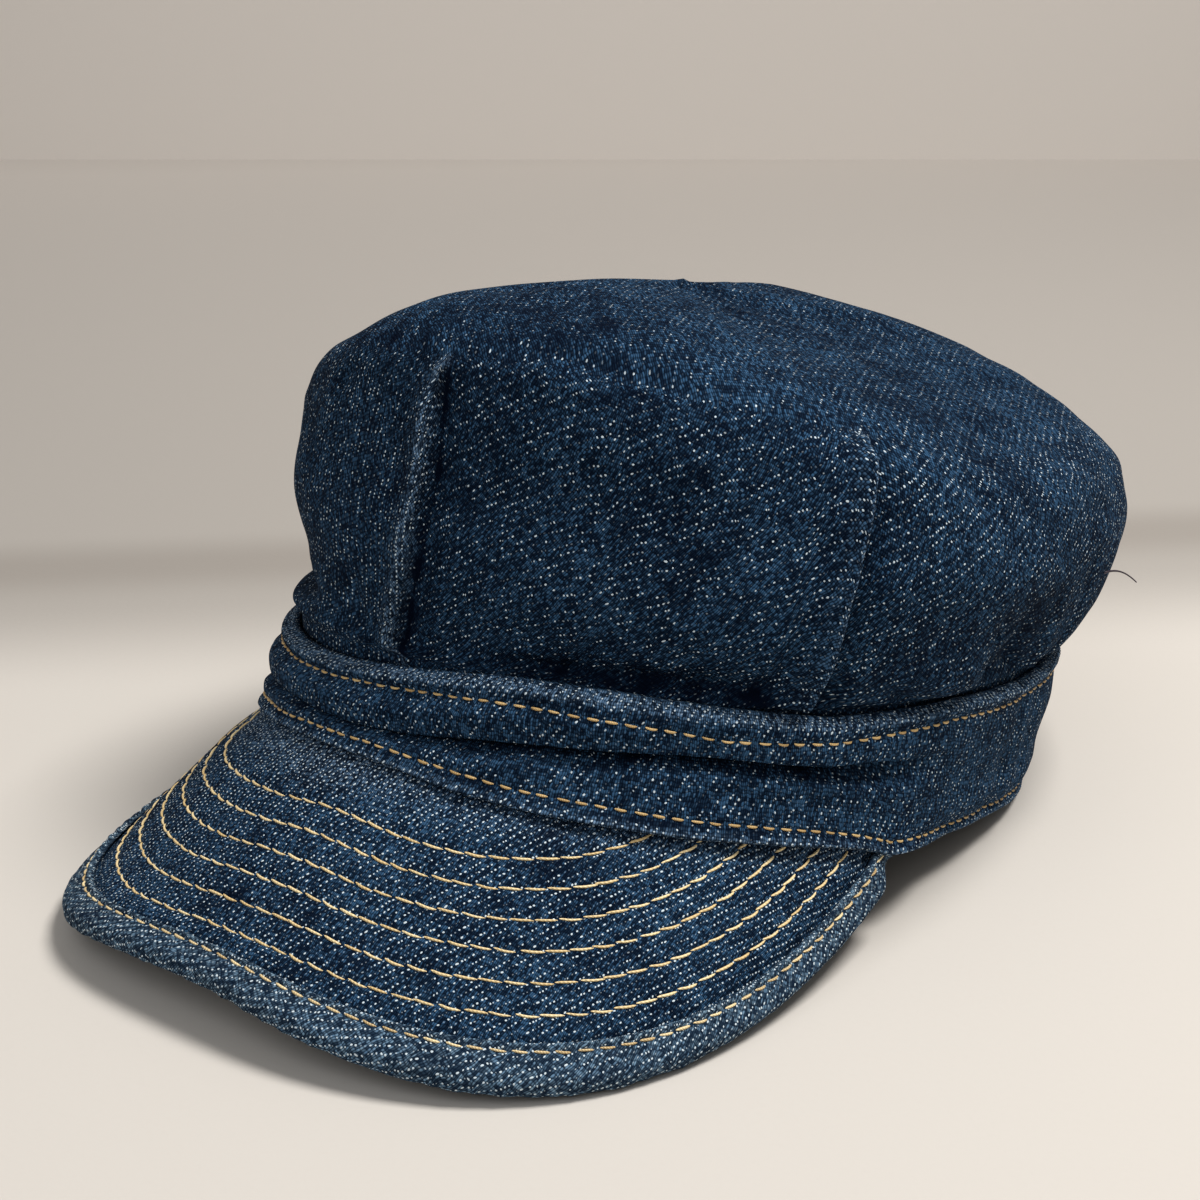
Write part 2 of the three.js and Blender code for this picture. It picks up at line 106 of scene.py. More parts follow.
# %% The peak's pattern and its bend
PEAK_LENGTH = 65.1
PEAK_ROOT_BACK = 42.2
PEAK_SQUARENESS = 2.5
PEAK_THICKNESS = 2.6
PEAK_SLOPE = np.radians(30.6)
PEAK_HALF_SPAN = HEAD_HALF_WIDTH * np.radians(76.1)
ARCH_RISE = 65.1
ARCH_FLARE = 0.075 / PEAK_LENGTH
ARCH_FLATTENING = 0.258 / PEAK_LENGTH
EDGE_TRIM = 4.5
TRIM_TURN, TRIM_REACH, TRIM_DEPTH = -0.1, 0.19, 17.0


def arch_width(forward):
    """Half the width of the arch, which grows evenly toward the front."""
    return HEAD_HALF_WIDTH * (1 + ARCH_FLARE * (forward + PEAK_ROOT_BACK))


def peak_face(across, forward):
    """The upper face: x is width times sin(bend), and the drop is rise times 1 - cos(bend)."""
    width = arch_width(forward)
    bend = across / width
    drop = ARCH_RISE * (1 - ARCH_FLATTENING * forward) * (1 - np.cos(bend))
    x = width * np.sin(bend)
    y = -HEAD_FRONT - forward * np.cos(PEAK_SLOPE) + drop * np.sin(PEAK_SLOPE)
    z = -forward * np.sin(PEAK_SLOPE) - drop * np.cos(PEAK_SLOPE)
    return np.stack(np.broadcast_arrays(x, y, z), -1)


def unit(vectors):
    """The same directions with length 1."""
    return vectors / np.maximum(np.linalg.norm(vectors, axis=-1, keepdims=True), 1e-9)


def peak_point(across, forward, lift):
    """A place on the peak, moved along the normal, the cross product of the two directions."""
    step = 0.01
    here = peak_face(across, forward)
    along_forward = peak_face(across, forward + step) - here
    along_across = peak_face(across + step, forward) - here
    normal = unit(np.cross(along_forward, along_across))
    return here + normal * np.asarray(lift)[..., None]


def plain_pattern(turn, inset):
    """The flat pattern: a squared half oval, turn -1 to 1 round its edge, inset from it."""
    angle = np.asarray(turn) * np.pi / 2
    side, ahead = np.sin(angle), np.maximum(np.cos(angle), 0.0)
    radius = (np.abs(side) ** PEAK_SQUARENESS + ahead**PEAK_SQUARENESS) ** (
        -1.0 / PEAK_SQUARENESS
    )
    across = (PEAK_HALF_SPAN - inset) * radius * side
    forward = (PEAK_LENGTH + PEAK_ROOT_BACK - inset) * radius * ahead - PEAK_ROOT_BACK
    return across, forward


def pattern_point(turn, inset):
    """The pattern as it was cut: a soft hump straightens the front edge on one side."""
    hump = EDGE_TRIM * bump(turn - TRIM_TURN, TRIM_REACH)
    return plain_pattern(turn, inset + hump * (1 - 0.4 * smooth(0, TRIM_DEPTH, inset)))


# %% [markdown]
# ## Where the band meets the peak
# The band's lower edge rides on the peak at the front and comes down to the table behind it.
# Two inverse questions need an answer: at what inset does the pattern pass under the oval of
# the head, and how high is the peak under a point of the plan. Halving and small steps toward
# the answer both work on whole arrays at once.

# %% Meeting lines found by halving
HALVINGS = 40
SETTLING_TURNS = 60


def halve(low, high, is_low):
    """Halves the range again and again, keeping the half where is_low changes."""
    low, high = np.array(low, float), np.array(high, float)
    for _ in range(HALVINGS):
        middle = (low + high) / 2
        below = is_low(middle)
        low, high = np.where(below, middle, low), np.where(below, high, middle)
    return low


def root_inset(turn):
    """The inset at which the bent pattern passes under the oval of the head."""
    turn = np.asarray(turn, float)

    def outside(inset):
        point = peak_face(*pattern_point(turn, inset))
        side = np.abs(point[..., 0]) / HEAD_HALF_WIDTH
        ahead = np.maximum(-point[..., 1], 0.0) / HEAD_FRONT
        return side**HEAD_SQUARENESS + ahead**HEAD_SQUARENESS > 1

    return halve(np.zeros_like(turn), np.full_like(turn, PEAK_LENGTH * 1.3), outside)


SIDE_SWELL = 1.3
CORNER_RAISE, FRONT_RAISE, RAISE_DEPTH = 3.2, 1.3, 20.0
END_TUCK = 5.0


def peak_at(turn, inset, lift=0.0):
    """A place on the worn peak, with its swollen side, raised corner and tucked ends."""
    across, forward = pattern_point(turn, inset)
    root = root_inset(turn)
    side = smooth(0.36, 0.62, -turn) * (1 - smooth(0.84, 1.0, -turn))
    swell = SIDE_SWELL * side * smooth(0, 14, root - inset)
    place = peak_point(across, forward, swell + lift + 0 * across)
    raised = CORNER_RAISE * bump(turn + 0.27, 0.2) + FRONT_RAISE * bump(turn - 0.06, 0.2)
    raised = raised * (1 - smooth(0, RAISE_DEPTH, inset))
    place = place + np.stack([0 * raised, 0 * raised, raised], -1)
    outer = np.clip(1 - inset / root, 0, 1)
    tuck = (END_TUCK * smooth(0.95, 1.0, np.abs(turn)) * outer)[..., None]
    inward = np.stack(np.broadcast_arrays(-np.sign(turn), 0.35, 0.25), -1)
    return place + inward * tuck


def peak_pattern_at(x, y):
    """The place in the flat pattern under a point of the plan, by settling steps."""
    forward = (-HEAD_FRONT - y) / np.cos(PEAK_SLOPE)
    across = x
    for _ in range(SETTLING_TURNS):
        width = arch_width(forward)
        bend = np.arcsin(np.clip(x / width, -0.995, 0.995))
        across = width * bend
        drop = ARCH_RISE * (1 - ARCH_FLATTENING * forward) * (1 - np.cos(bend))
        ahead = (-HEAD_FRONT - y + drop * np.sin(PEAK_SLOPE)) / np.cos(PEAK_SLOPE)
        forward = mix(forward, ahead, 0.6)
    return across, forward


BINDING_WALL = 1.2
GAP = 0.35
NOSE_RADIUS = PEAK_THICKNESS / 2 + GAP + BINDING_WALL
STANDING_CLEARANCE = 0.05
edge_turns = np.linspace(-1, 1, 241)
fold_turns = np.radians(np.linspace(-90, 90, 13))
nose_pattern = plain_pattern(edge_turns[:, None], NOSE_RADIUS * (1 - np.cos(fold_turns)))
nose_lift = -PEAK_THICKNESS / 2 + NOSE_RADIUS * np.sin(fold_turns) + 0 * nose_pattern[0]
nose = peak_point(*nose_pattern, nose_lift)
FRONT_RISE = STANDING_CLEARANCE - nose[..., 2].min()
PEAK_END = halve(
    np.radians(30),
    np.radians(88),
    lambda angle: peak_pattern_at(*oval(angle, HEAD_HALF_WIDTH, HEAD_FRONT, HEAD_BACK))[1]
    > -PEAK_ROOT_BACK,
)

# %% The band's two edges
BAND_HEIGHT_FRONT = 17.5
BAND_TOP_SIDE = 43.6
BAND_TOP_BACK = 30.9
BAND_LEAN_FRONT = 8.5
BAND_TAPER_SIDE = 1.3
BAND_LEAN_ASIDE = 2.9
BAND_FLARE_BACK = 2.1
BAND_WALL = 2.4
REST_ANGLE = np.radians(122)


def rim_height(angle):
    """The band's lower edge: the peak's height at the front, then a slope down to the table."""
    angle = np.abs(np.arctan2(np.sin(angle), np.cos(angle)))
    held = np.minimum(angle, PEAK_END)
    x, y = oval(held, HEAD_HALF_WIDTH, HEAD_FRONT, HEAD_BACK)
    height = FRONT_RISE + peak_face(*peak_pattern_at(x, y))[..., 2]
    left = np.clip((REST_ANGLE - angle) / (REST_ANGLE - PEAK_END), 0, 1)
    return height * np.where(angle < PEAK_END, 1.0, left**1.5)


def band_rim(angle):
    """The lower edge of the band in space."""
    x, y = oval(angle, HEAD_HALF_WIDTH, HEAD_FRONT, HEAD_BACK)
    return np.stack([x, y, rim_height(angle)], -1)


def band_top(angle):
    """The upper edge of the band: a smaller oval that leans in over the forehead."""
    x, y = oval(
        angle,
        HEAD_HALF_WIDTH - BAND_TAPER_SIDE,
        HEAD_FRONT - BAND_LEAN_FRONT,
        HEAD_BACK + BAND_FLARE_BACK,
    )
    z = height_round(angle, FRONT_RISE + BAND_HEIGHT_FRONT, BAND_TOP_SIDE, BAND_TOP_BACK)
    return np.stack([x + BAND_LEAN_ASIDE, y, z], -1)


def outward(angle):
    """The level direction straight out of the head: its edge's direction, turned a right angle."""
    step = 0.01
    before = oval(angle - step, HEAD_HALF_WIDTH, HEAD_FRONT, HEAD_BACK)
    after = oval(angle + step, HEAD_HALF_WIDTH, HEAD_FRONT, HEAD_BACK)
    x, y = after[1] - before[1], before[0] - after[0]
    return unit(np.stack([x, y, np.zeros_like(x)], -1))


# %% [markdown]
# ## The crown's sections
# The crown is a stack of ovals. The table gives each one as shares of the head opening, and a
# smooth curve passes through every column of the table, so a place on the cloth is just an
# angle and a height number. A lofted curve surface would do the same, but it could not be
# asked for the normal that the folds are pushed along.

# %% A table of ovals and the curve through it
CROWN_WALL = 1.8
CROWN_HEIGHT = 126.7
CROWN_TUCK = 4
# half width, front, back, aside, then the rise at the front, the sides and the back
CROWN_SECTIONS = np.array(
    [
        [1.011, 0.885, 1.070, 0.032, 0.070, 0.050, 0.066],
        [1.052, 0.868, 1.167, 0.061, 0.267, 0.185, 0.192],
        [1.075, 0.831, 1.242, 0.082, 0.522, 0.370, 0.348],
        [1.048, 0.806, 1.208, 0.081, 0.765, 0.548, 0.478],
        [0.944, 0.764, 1.094, 0.064, 0.948, 0.665, 0.598],
        [0.749, 0.632, 0.891, 0.053, 1.065, 0.772, 0.749],
        [0.433, 0.389, 0.481, 0.031, 1.077, 0.890, 0.905],
        [0.000, 0.000, 0.000, 0.057, 1.000, 1.000, 1.000],
    ]
)


def crown_table():
    """The sections in millimetres: two that stand inside the band, then the free ones."""
    inset = BAND_WALL + GAP
    plan = [
        HEAD_HALF_WIDTH - BAND_TAPER_SIDE - inset,
        HEAD_FRONT - BAND_LEAN_FRONT - inset,
        HEAD_BACK + BAND_FLARE_BACK - inset,
        BAND_LEAN_ASIDE,
    ]
    seam = np.array([FRONT_RISE + BAND_HEIGHT_FRONT, BAND_TOP_SIDE, BAND_TOP_BACK])
    reach = np.array([HEAD_HALF_WIDTH, HEAD_FRONT, HEAD_BACK, HEAD_HALF_WIDTH])
    free = np.hstack(
        [CROWN_SECTIONS[:, :4] * reach, mix(seam, CROWN_HEIGHT, CROWN_SECTIONS[:, 4:])]
    )
    low = np.hstack([plan, seam - CROWN_TUCK])
    high = np.hstack([plan, seam + CROWN_WALL / 2])
    return np.vstack([low, high, free])


SECTIONS = crown_table()
LAST_SECTION = len(SECTIONS) - 1


def section_at(height):
    """A cubic through the table whose slope at each row is half the step across it."""
    index = np.clip(np.floor(height).astype(int), 0, LAST_SECTION - 1)
    share = (height - index)[..., None]
    here, after = SECTIONS[index], SECTIONS[index + 1]
    past = SECTIONS[np.maximum(index - 1, 0)]
    beyond = SECTIONS[np.minimum(index + 2, LAST_SECTION)]
    rising = np.where((index <= 1)[..., None], after - here, (after - past) / 2)
    last = (index == LAST_SECTION - 1)[..., None]
    leaving = np.where(last, after - here, (beyond - here) / 2)
    bend = 3 * (after - here) - 2 * rising - leaving
    twist = rising + leaving - 2 * (after - here)
    curve = here + rising * share + bend * share**2 + twist * share**3
    return np.where((index == 0)[..., None], mix(here, after, share), curve)


def crown_base(angle, height):
    """The smooth crown without its folds: the oval of a height number at its own level."""
    half_width, front, back, aside, z_front, z_side, z_back = np.moveaxis(
        section_at(height), -1, 0
    )
    x, y = oval(angle, half_width, front, back)
    return np.stack([x + aside, y, height_round(angle, z_front, z_side, z_back)], -1)


def crown_normal(angle, height):
    """The direction out of the cloth: the cross product of its two directions."""
    step = 0.004
    around = crown_base(angle + step, height) - crown_base(angle - step, height)
    low, high = np.maximum(height - step, 0), np.minimum(height + step, LAST_SECTION)
    return unit(np.cross(around, crown_base(angle, high) - crown_base(angle, low)))

# %% [markdown]
# ## From grids to meshes
# Every piece of cloth is a closed wall: a grid of points for its face, another for its back,
# and strips that join their edges. Numbering the points with an array and slicing that array
# gives all the faces at once. Each corner of a face also gets a place in the flat cloth, in
# millimetres, so that the weave can follow the surface.

# %% Faces from slices of numbered grids
MM = 0.001


def quads(numbers, places=None, turned=False):
    """Faces between neighbours of a numbered grid, with their places in the flat cloth."""
    corners = [numbers[:-1, :-1], numbers[1:, :-1], numbers[1:, 1:], numbers[:-1, 1:]]
    faces = np.stack(corners, -1).reshape(-1, 4)
    if places is None:
        flat = np.zeros(faces.shape + (2,))
    else:
        parts = [places[:-1, :-1], places[1:, :-1], places[1:, 1:], places[:-1, 1:]]
        flat = np.stack(parts, 2).reshape(-1, 4, 2)
    if turned:
        faces, flat = faces[:, ::-1], flat[:, ::-1]
    return faces, flat


def make_mesh(name, points, parts, fans=(), marks=None):
    """An object from points in millimetres, lists of quads and fans, and marks for each point."""
    faces = np.concatenate([part[0] for part in parts])
    flat = np.concatenate([part[1].reshape(-1, 2) for part in parts])
    fan_faces = np.concatenate([fan[0] for fan in fans]) if fans else np.zeros((0, 3), int)
    fan_flat = [fan[1].reshape(-1, 2) for fan in fans]
    loops = np.concatenate([faces.ravel(), fan_faces.ravel()]).astype(np.int32)
    sizes = np.concatenate([np.full(len(faces), 4), np.full(len(fan_faces), 3)])
    mesh = bpy.data.meshes.new(name)
    mesh.vertices.add(len(points))
    mesh.vertices.foreach_set("co", (points * MM).astype(np.float32).ravel())
    mesh.loops.add(len(loops))
    mesh.loops.foreach_set("vertex_index", loops)
    mesh.polygons.add(len(sizes))
    starts = np.concatenate([[0], np.cumsum(sizes)[:-1]]).astype(np.int32)
    mesh.polygons.foreach_set("loop_start", starts)
    mesh.update(calc_edges=True)
    cloth = mesh.uv_layers.new(name="cloth")
    cloth.data.foreach_set("uv", np.concatenate([flat, *fan_flat]).astype(np.float32).ravel())
    for mark, values in (marks or {}).items():
        layer = mesh.attributes.new(mark, "FLOAT", "POINT")
        layer.data.foreach_set("value", np.asarray(values, np.float32).ravel())
    mesh.polygons.foreach_set("use_smooth", np.ones(len(sizes), bool))
    mesh.validate()
    piece = bpy.data.objects.new(name, mesh)
    bpy.context.scene.collection.objects.link(piece)
    print(f"{name}: {len(points)} points, {int((sizes - 2).sum())} triangles")
    return piece


def number(shape, start=0):
    """The numbers of a grid of points that starts at a given number."""
    return start + np.arange(shape[0] * shape[1]).reshape(shape[0], shape[1])


def strip(first, second, flat, wide=2.0):
    """Faces that join two edges of a wall, from the first line of points to the second."""
    places = np.stack([flat, flat + [wide, wide]], 1)
    return quads(np.stack([first, second], 1), places)


def looped(grid):
    """A grid whose first column is joined on again after its last."""
    return np.concatenate([grid, grid[:1]])


def wall_parts(out, inn, flat, rows=slice(None), ends=False):
    """The faces of a wall: its face, its back, and strips along its edges and its ends."""
    parts = [
        quads(out, flat),
        quads(inn, flat[:, rows], turned=True),
        strip(inn[:, 0], out[:, 0], flat[:, 0]),
        strip(out[:, -1], inn[:, -1], flat[:, -1]),
    ]
    if ends:
        parts.append(strip(out[0][rows], inn[0], flat[0][rows]))
        parts.append(strip(inn[-1], out[-1][rows], flat[-1][rows]))
    return parts


def face_marks(blank, **marks):
    """Marks of the face's points, followed by nothing for the points behind."""
    return {name: np.append(values.ravel(), np.zeros(blank)) for name, values in marks.items()}


def ripples(u, v, seed, count_u, count_v):
    """Soft uneven relief, -1 to 1: random heights on a grid, joined by soft steps. u, v 0 to 1."""
    heights = np.random.default_rng(seed).uniform(-1, 1, (count_u, count_v + 1))
    u, v = np.mod(u, 1.0) * count_u, np.clip(v, 0, 1) * count_v
    i, j = np.floor(u).astype(int) % count_u, np.minimum(np.floor(v).astype(int), count_v - 1)
    s, t = smooth(0, 1, u - np.floor(u)), smooth(0, 1, v - j)
    after = (i + 1) % count_u
    low = mix(heights[i, j], heights[after, j], s)
    high = mix(heights[i, j + 1], heights[after, j + 1], s)
    return mix(low, high, t)


# The part's origin is the middle of the cap's outline. The outline is known from the CAD box
# of the bound peak, so the shift is measured on the same formula and not guessed.
binding_low, binding_high = (np.array(corner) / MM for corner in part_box("peak_binding"))
SHIFT = np.array(
    [
        (binding_low[0] + binding_high[0] - nose[..., 0].min() - nose[..., 0].max()) / 2,
        binding_low[1] - nose[..., 1].min(),
        binding_low[2] - STANDING_CLEARANCE,
    ]
)
print("shift from the head oval to the part", SHIFT.round(3))

# %% [markdown]
# ## The crown's pleats and folds
# Two pleats take in the cloth at the front. A pleat is a fold sewn into the seam: the cloth on
# its left swells up to the folded edge and drops sharply onto the cloth below. It could be
# modelled as three layers of cloth, but a steep step pushed along the normal looks the same
# from outside and stays one clean wall. The folded edge wanders, so a table gives its angle at
# each height number. Soft folds are humps, creases are humps along a line, and fine ripples
# keep any patch from being smooth. Cloth beside a pleat gets painted shade.

# %% Relief of the crown
PLEATS = [
    # height numbers, angles of the edge, depth, and where the pleat fades out
    {
        "heights": [1.0, 1.4, 1.7, 2.3, 2.8, 3.2, 3.6, 4.0, 4.5, 5.2, 5.7, 6.3],
        "angles": [-6.8, -8.8, -9.0, -8.9, -8.5, -8.3, -8.6, -8.1, -8.0, -7.7, -6.6, -5.6],
        "depth": 2.7,
        "tip": 5.75,
    },
    {
        "heights": [1.0, 2.0, 2.3, 2.75, 3.2, 3.6, 4.1, 4.4, 4.9, 5.3, 5.7, 6.3],
        "angles": [52.5, 52.2, 51.8, 51.2, 50.7, 50.4, 51.0, 51.8, 53.2, 54.5, 56.2, 58.0],
        "depth": 2.8,
        "tip": 5.9,
    },
]
SEAM_ANGLES = [-8.0, 52.0]
# angle, height number, reach round in degrees, reach up, depth in millimetres
CROWN_FOLDS = np.array(
    [
        [24, 2.0, 26, 0.60, -5.2],
        [30, 2.35, 7, 0.16, 1.0],
        [12, 2.2, 6, 0.14, 0.9],
        [20, 3.2, 30, 0.80, 1.2],
        [74, 2.3, 9, 0.50, 2.6],
        [90, 2.3, 8, 0.90, -3.6],
        [116, 2.9, 16, 0.75, 1.2],
        [134, 2.6, 12, 0.80, -2.4],
        [-52, 2.80, 24, 0.65, -4.9],
        [-49, 2.28, 13, 0.27, -7.2],
        [-18, 2.1, 8, 0.80, -1.6],
        [-44, 6.45, 12, 0.50, -1.0],
        [-20, 7.90, 10, 0.45, -0.9],
        [5, 7.2, 20, 0.70, -1.6],
        [-100, 2.6, 18, 0.90, -2.5],
        [180, 2.4, 22, 0.80, -2.5],
        [-150, 3.2, 20, 0.90, 1.6],
        [150, 3.6, 16, 0.80, 1.4],
    ]
)
# creases: from one angle and height number to another, half width and depth in millimetres
CROWN_CREASES = np.array(
    [
        [88, 1.7, 80, 3.2, 2.0, -2.2],
        [83, 2.9, 88, 3.1, 1.6, -1.4],
        [96, 1.5, 89, 3.3, 2.2, -2.6],
        [101, 1.6, 97, 3.4, 2.0, 1.4],
        [107, 1.6, 103, 3.8, 1.8, -1.7],
        [113, 1.7, 112, 3.0, 1.6, -1.3],
        [120, 1.7, 122, 3.4, 2.0, -1.6],
        [68, 1.6, 62, 2.3, 2.2, -1.5],
        [59, 1.6, 57, 2.6, 1.8, 0.9],
        [-46, 2.4, -30, 2.25, 1.8, -1.6],
        [-40, 1.7, -24, 2.0, 1.8, -1.0],
        [-14, 1.6, -20, 2.7, 2.0, -1.2],
        [-3, 1.6, 2, 2.6, 2.0, -1.2],
        [10, 1.6, 13, 2.4, 2.0, 0.9],
        [18, 1.6, 22, 2.7, 2.6, -1.3],
        [28, 1.7, 25, 2.5, 2.2, 0.8],
        [37, 1.6, 34, 2.8, 2.6, -1.5],
        [45, 1.8, 47.5, 3.7, 1.6, -1.1],
        [-80, 1.7, -74, 3.0, 2.2, -1.5],
        [-112, 1.7, -118, 3.2, 2.2, -1.6],
        [-140, 1.7, -134, 3.0, 2.4, -1.6],
        [-168, 1.7, -174, 3.3, 2.4, -1.6],
        [160, 1.7, 154, 3.2, 2.4, -1.7],
        [140, 1.7, 144, 3.2, 2.2, -1.5],
        [-30, 5.3, -22, 6.2, 2.6, -0.8],
        [12, 6.2, 34, 6.0, 3.0, -0.7],
        [70, 5.2, 84, 4.2, 3.2, -0.8],
        [96, 5.4, 112, 4.8, 3.0, 0.8],
    ]
)
HEIGHT_STEP = 15.0
BACK_SEAM = 182.0
TOP_SETTLE = 1.0


def turn_between(start, end):
    """The angle from start to end in degrees, between -180 and 180."""
    return np.mod(end - start + 180, 360) - 180


def crease_bump(degrees, height, radius, start, end, wide):
    """A hump along a line on the cloth: e to the minus square of the distance over its width."""
    run = np.radians(end[0] - start[0]) * 80.0, (end[1] - start[1]) * HEIGHT_STEP
    x = np.radians(turn_between(start[0], degrees)) * radius
    y = (height - start[1]) * HEIGHT_STEP
    share = np.clip((x * run[0] + y * run[1]) / (run[0] ** 2 + run[1] ** 2), 0, 1)
    away = np.hypot(x - share * run[0], y - share * run[1])
    return bump(away, wide) * mix(1.0, 0.45, share)


def crown_relief(degrees, height, radius):
    """How far the cloth stands out of the smooth crown, in millimetres."""
    free = smooth(1.15, 1.9, height)
    relief = np.zeros_like(height)
    for pleat in PLEATS:
        edge = np.interp(height, pleat["heights"], pleat["angles"])
        off = np.radians(turn_between(edge, degrees)) * radius
        fade = 1 - smooth(pleat["tip"] - 0.7, pleat["tip"] + 0.05, height)
        over = smooth(-10, -0.5, off) ** 2 * (1 - smooth(-0.25, 0.3, off))
        under = -0.8 * smooth(-0.25, 0.3, off) * (1 - smooth(0.3, 10, off))
        roll = 0.30 * bump(off + 0.75, 0.5)
        tip = bump(height - pleat["tip"] + 0.12, 0.11) * bump(off + 0.6, 1.6)
        relief += pleat["depth"] * fade * (over + under + roll) + 1.2 * tip
    for angle, level, around, up, depth in CROWN_FOLDS:
        relief += depth * bump(turn_between(angle, degrees), around) * bump(height - level, up)
    for start, low, end, high, wide, depth in CROWN_CREASES:
        relief += depth * crease_bump(degrees, height, radius, (start, low), (end, high), wide)
    relief -= TOP_SETTLE * smooth(3.6, 4.6, height)
    from_seam = np.radians(turn_between(BACK_SEAM, degrees)) * radius
    relief -= 0.6 * bump(from_seam, 1.6) * (1 - smooth(5.5, 6.5, height))
    u, v = degrees / 360, height / LAST_SECTION
    relief += 0.75 * ripples(u, v, 11, 26, 9) + 0.35 * ripples(u, v, 12, 64, 22)
    gathers = ripples(u, v, 13, 90, 3) * (1 - smooth(1.6, 3.2, height))
    relief += 0.55 * gathers
    return relief * free


# %% [markdown]
# ## Building the crown
# The columns of the grid stand close together along the pleats, where the step is steep, and
# further apart on the plain back. Each column leans with the pleat near it. For the weave the
# cloth is unrolled panel by panel: across is the length along the row from the middle of the
# panel, and up is the length along the column. Over the top the plan itself is the flat cloth.

# %% The crown mesh
PANELS = [
    # first angle, last angle, middle, lean of the warp in degrees
    (-8.0, 52.0, 22.0, 32.0),
    (52.0, 182.0, 96.0, 30.0),
    (182.0, 352.0, 306.0, -27.0),
]
# painted shade: cloth in shade is painted darker, as if it lay this many millimetres lower
PAINTED_SHADE_DEPTH = 8.0
CROWN_ROWS = 132
CROWN_BACK_ROWS = 40


def crown_columns():
    """Angles of the columns: fine steps at the pleats, middling in front, wide at the back."""
    front = np.arange(-100, 140, 0.95)
    behind = np.arange(140, 260, 1.9)
    near = [np.abs(turn_between(seam, front)) < 2.2 for seam in SEAM_ANGLES]
    kept = front[~np.any(near, axis=0)]
    fine = [seam + np.linspace(-2.2, 2.2, 21) for seam in SEAM_ANGLES]
    return np.sort(np.mod(np.concatenate([kept, behind, *fine]) - SEAM_ANGLES[0], 360))


def lean(seam, height):
    """The angle of a column at a height: it follows the edges of the pleats near it."""
    angle = seam.copy()
    for pleat, root in zip(PLEATS, SEAM_ANGLES):
        near = np.abs(turn_between(root, seam)) / 33
        edge = np.interp(height, pleat["heights"], pleat["angles"])
        angle = angle + (1 - smooth(0.25, 1, near)) * (edge - root)
    return angle


def make_crown():
    """The crown's wall: the base, pushed out along its normal by the relief."""
    seam = crown_columns() + SEAM_ANGLES[0]
    heights = np.concatenate([[0.0, 0.6], np.linspace(1, LAST_SECTION, CROWN_ROWS + 1)[:-1]])
    seam_grid, height = np.meshgrid(seam, heights, indexing="ij")
    degrees = lean(seam_grid, height)
    angle = np.radians(degrees)
    base, normal = crown_base(angle, height), crown_normal(angle, height)
    radius = np.hypot(*np.moveaxis(base[..., :2], -1, 0))
    relief = crown_relief(degrees, height, radius)
    face = base + normal * relief[..., None]
    back_rows = np.unique(np.linspace(0, len(heights) - 1, CROWN_BACK_ROWS).astype(int))
    back = (base + normal * (relief[..., None] - CROWN_WALL))[:, back_rows]
    pole = crown_base(np.zeros(1), np.array([LAST_SECTION - 1e-6]))
    points = np.concatenate(
        [face.reshape(-1, 3), back.reshape(-1, 3), pole, pole - [[0, 0, CROWN_WALL]]]
    )
    out = looped(number(face.shape))
    inn = looped(number(back.shape, out[:-1].size))
    top = len(points) - 2
    parts, fans = [], []
    spread = looped(face)
    step = np.linalg.norm(np.diff(spread, axis=1), axis=-1)
    up = np.concatenate([np.zeros((len(spread), 1)), np.cumsum(step, axis=1)], axis=1)
    around_seam = np.append(seam, seam[0] + 360)
    for first, last, middle, tilt in PANELS:
        ends = [np.abs(around_seam - bound).argmin() for bound in (first, last)]
        columns = np.arange(ends[0], ends[1] + 1)
        run = np.linalg.norm(np.diff(spread[columns], axis=0), axis=-1)
        across = np.concatenate([np.zeros((1, run.shape[1])), np.cumsum(run, axis=0)])
        across = across - across[np.abs(around_seam[columns] - middle).argmin()]
        turn = np.radians(tilt)
        flat_u = across * np.cos(turn) - up[columns] * np.sin(turn)
        flat_v = across * np.sin(turn) + up[columns] * np.cos(turn)
        flat = np.stack([flat_u, flat_v], -1) + 500.0 + middle
        parts.append(quads(out[columns], flat))
        tip_flat = np.stack([flat[:-1, -1], flat[1:, -1], flat[1:, -1]], 1)
        rows = out[columns]
        tips = np.stack([rows[:-1, -1], rows[1:, -1], np.full(len(rows) - 1, top)], -1)
        fans.append((tips, tip_flat))
    parts.append(quads(inn, looped(back[..., :2]), turned=True))
    tips = np.stack([inn[1:, -1], inn[:-1, -1], np.full(len(inn) - 1, top + 1)], -1)
    fans.append((tips, np.zeros(tips.shape + (2,))))
    parts.append(strip(inn[:, 0], out[:, 0], looped(back[..., :2])[:, 0]))
    # Painted shade: at the foot of the crown, under its overhang in front, and beside each pleat.
    wear, painted_shade = np.zeros_like(height), 0.5 * bump(height - 1.3, 0.3)
    painted_shade += 0.7 * bump(turn_between(20, degrees), 26) * bump(height - 1.75, 0.6)
    for pleat in PLEATS:
        edge = np.interp(height, pleat["heights"], pleat["angles"])
        off = np.radians(turn_between(edge, degrees)) * radius
        below = 1 - smooth(pleat["tip"], pleat["tip"] + 0.2, height)
        wear += (1.1 * bump(off + 0.45, 0.45) + 0.15 * bump(off + 2.6, 2.2)) * below
        wear += 0.9 * bump(height - pleat["tip"], 0.13) * bump(off + 0.2, 1.3)
        painted_shade += 0.85 * bump(off - 1.3, 1.1) * below
    top_share = smooth(5.4, 6.4, height)
    # Fold mark: hollows painted darker as shade, crests paler as wear, plus the painted shade.
    fold = relief - PAINTED_SHADE_DEPTH * painted_shade
    marks = face_marks(len(points) - face[..., 0].size, wear=wear, top=top_share, fold=fold)
    return make_mesh("crown_cloth", points + SHIFT, parts, fans, marks)


crown = make_crown()
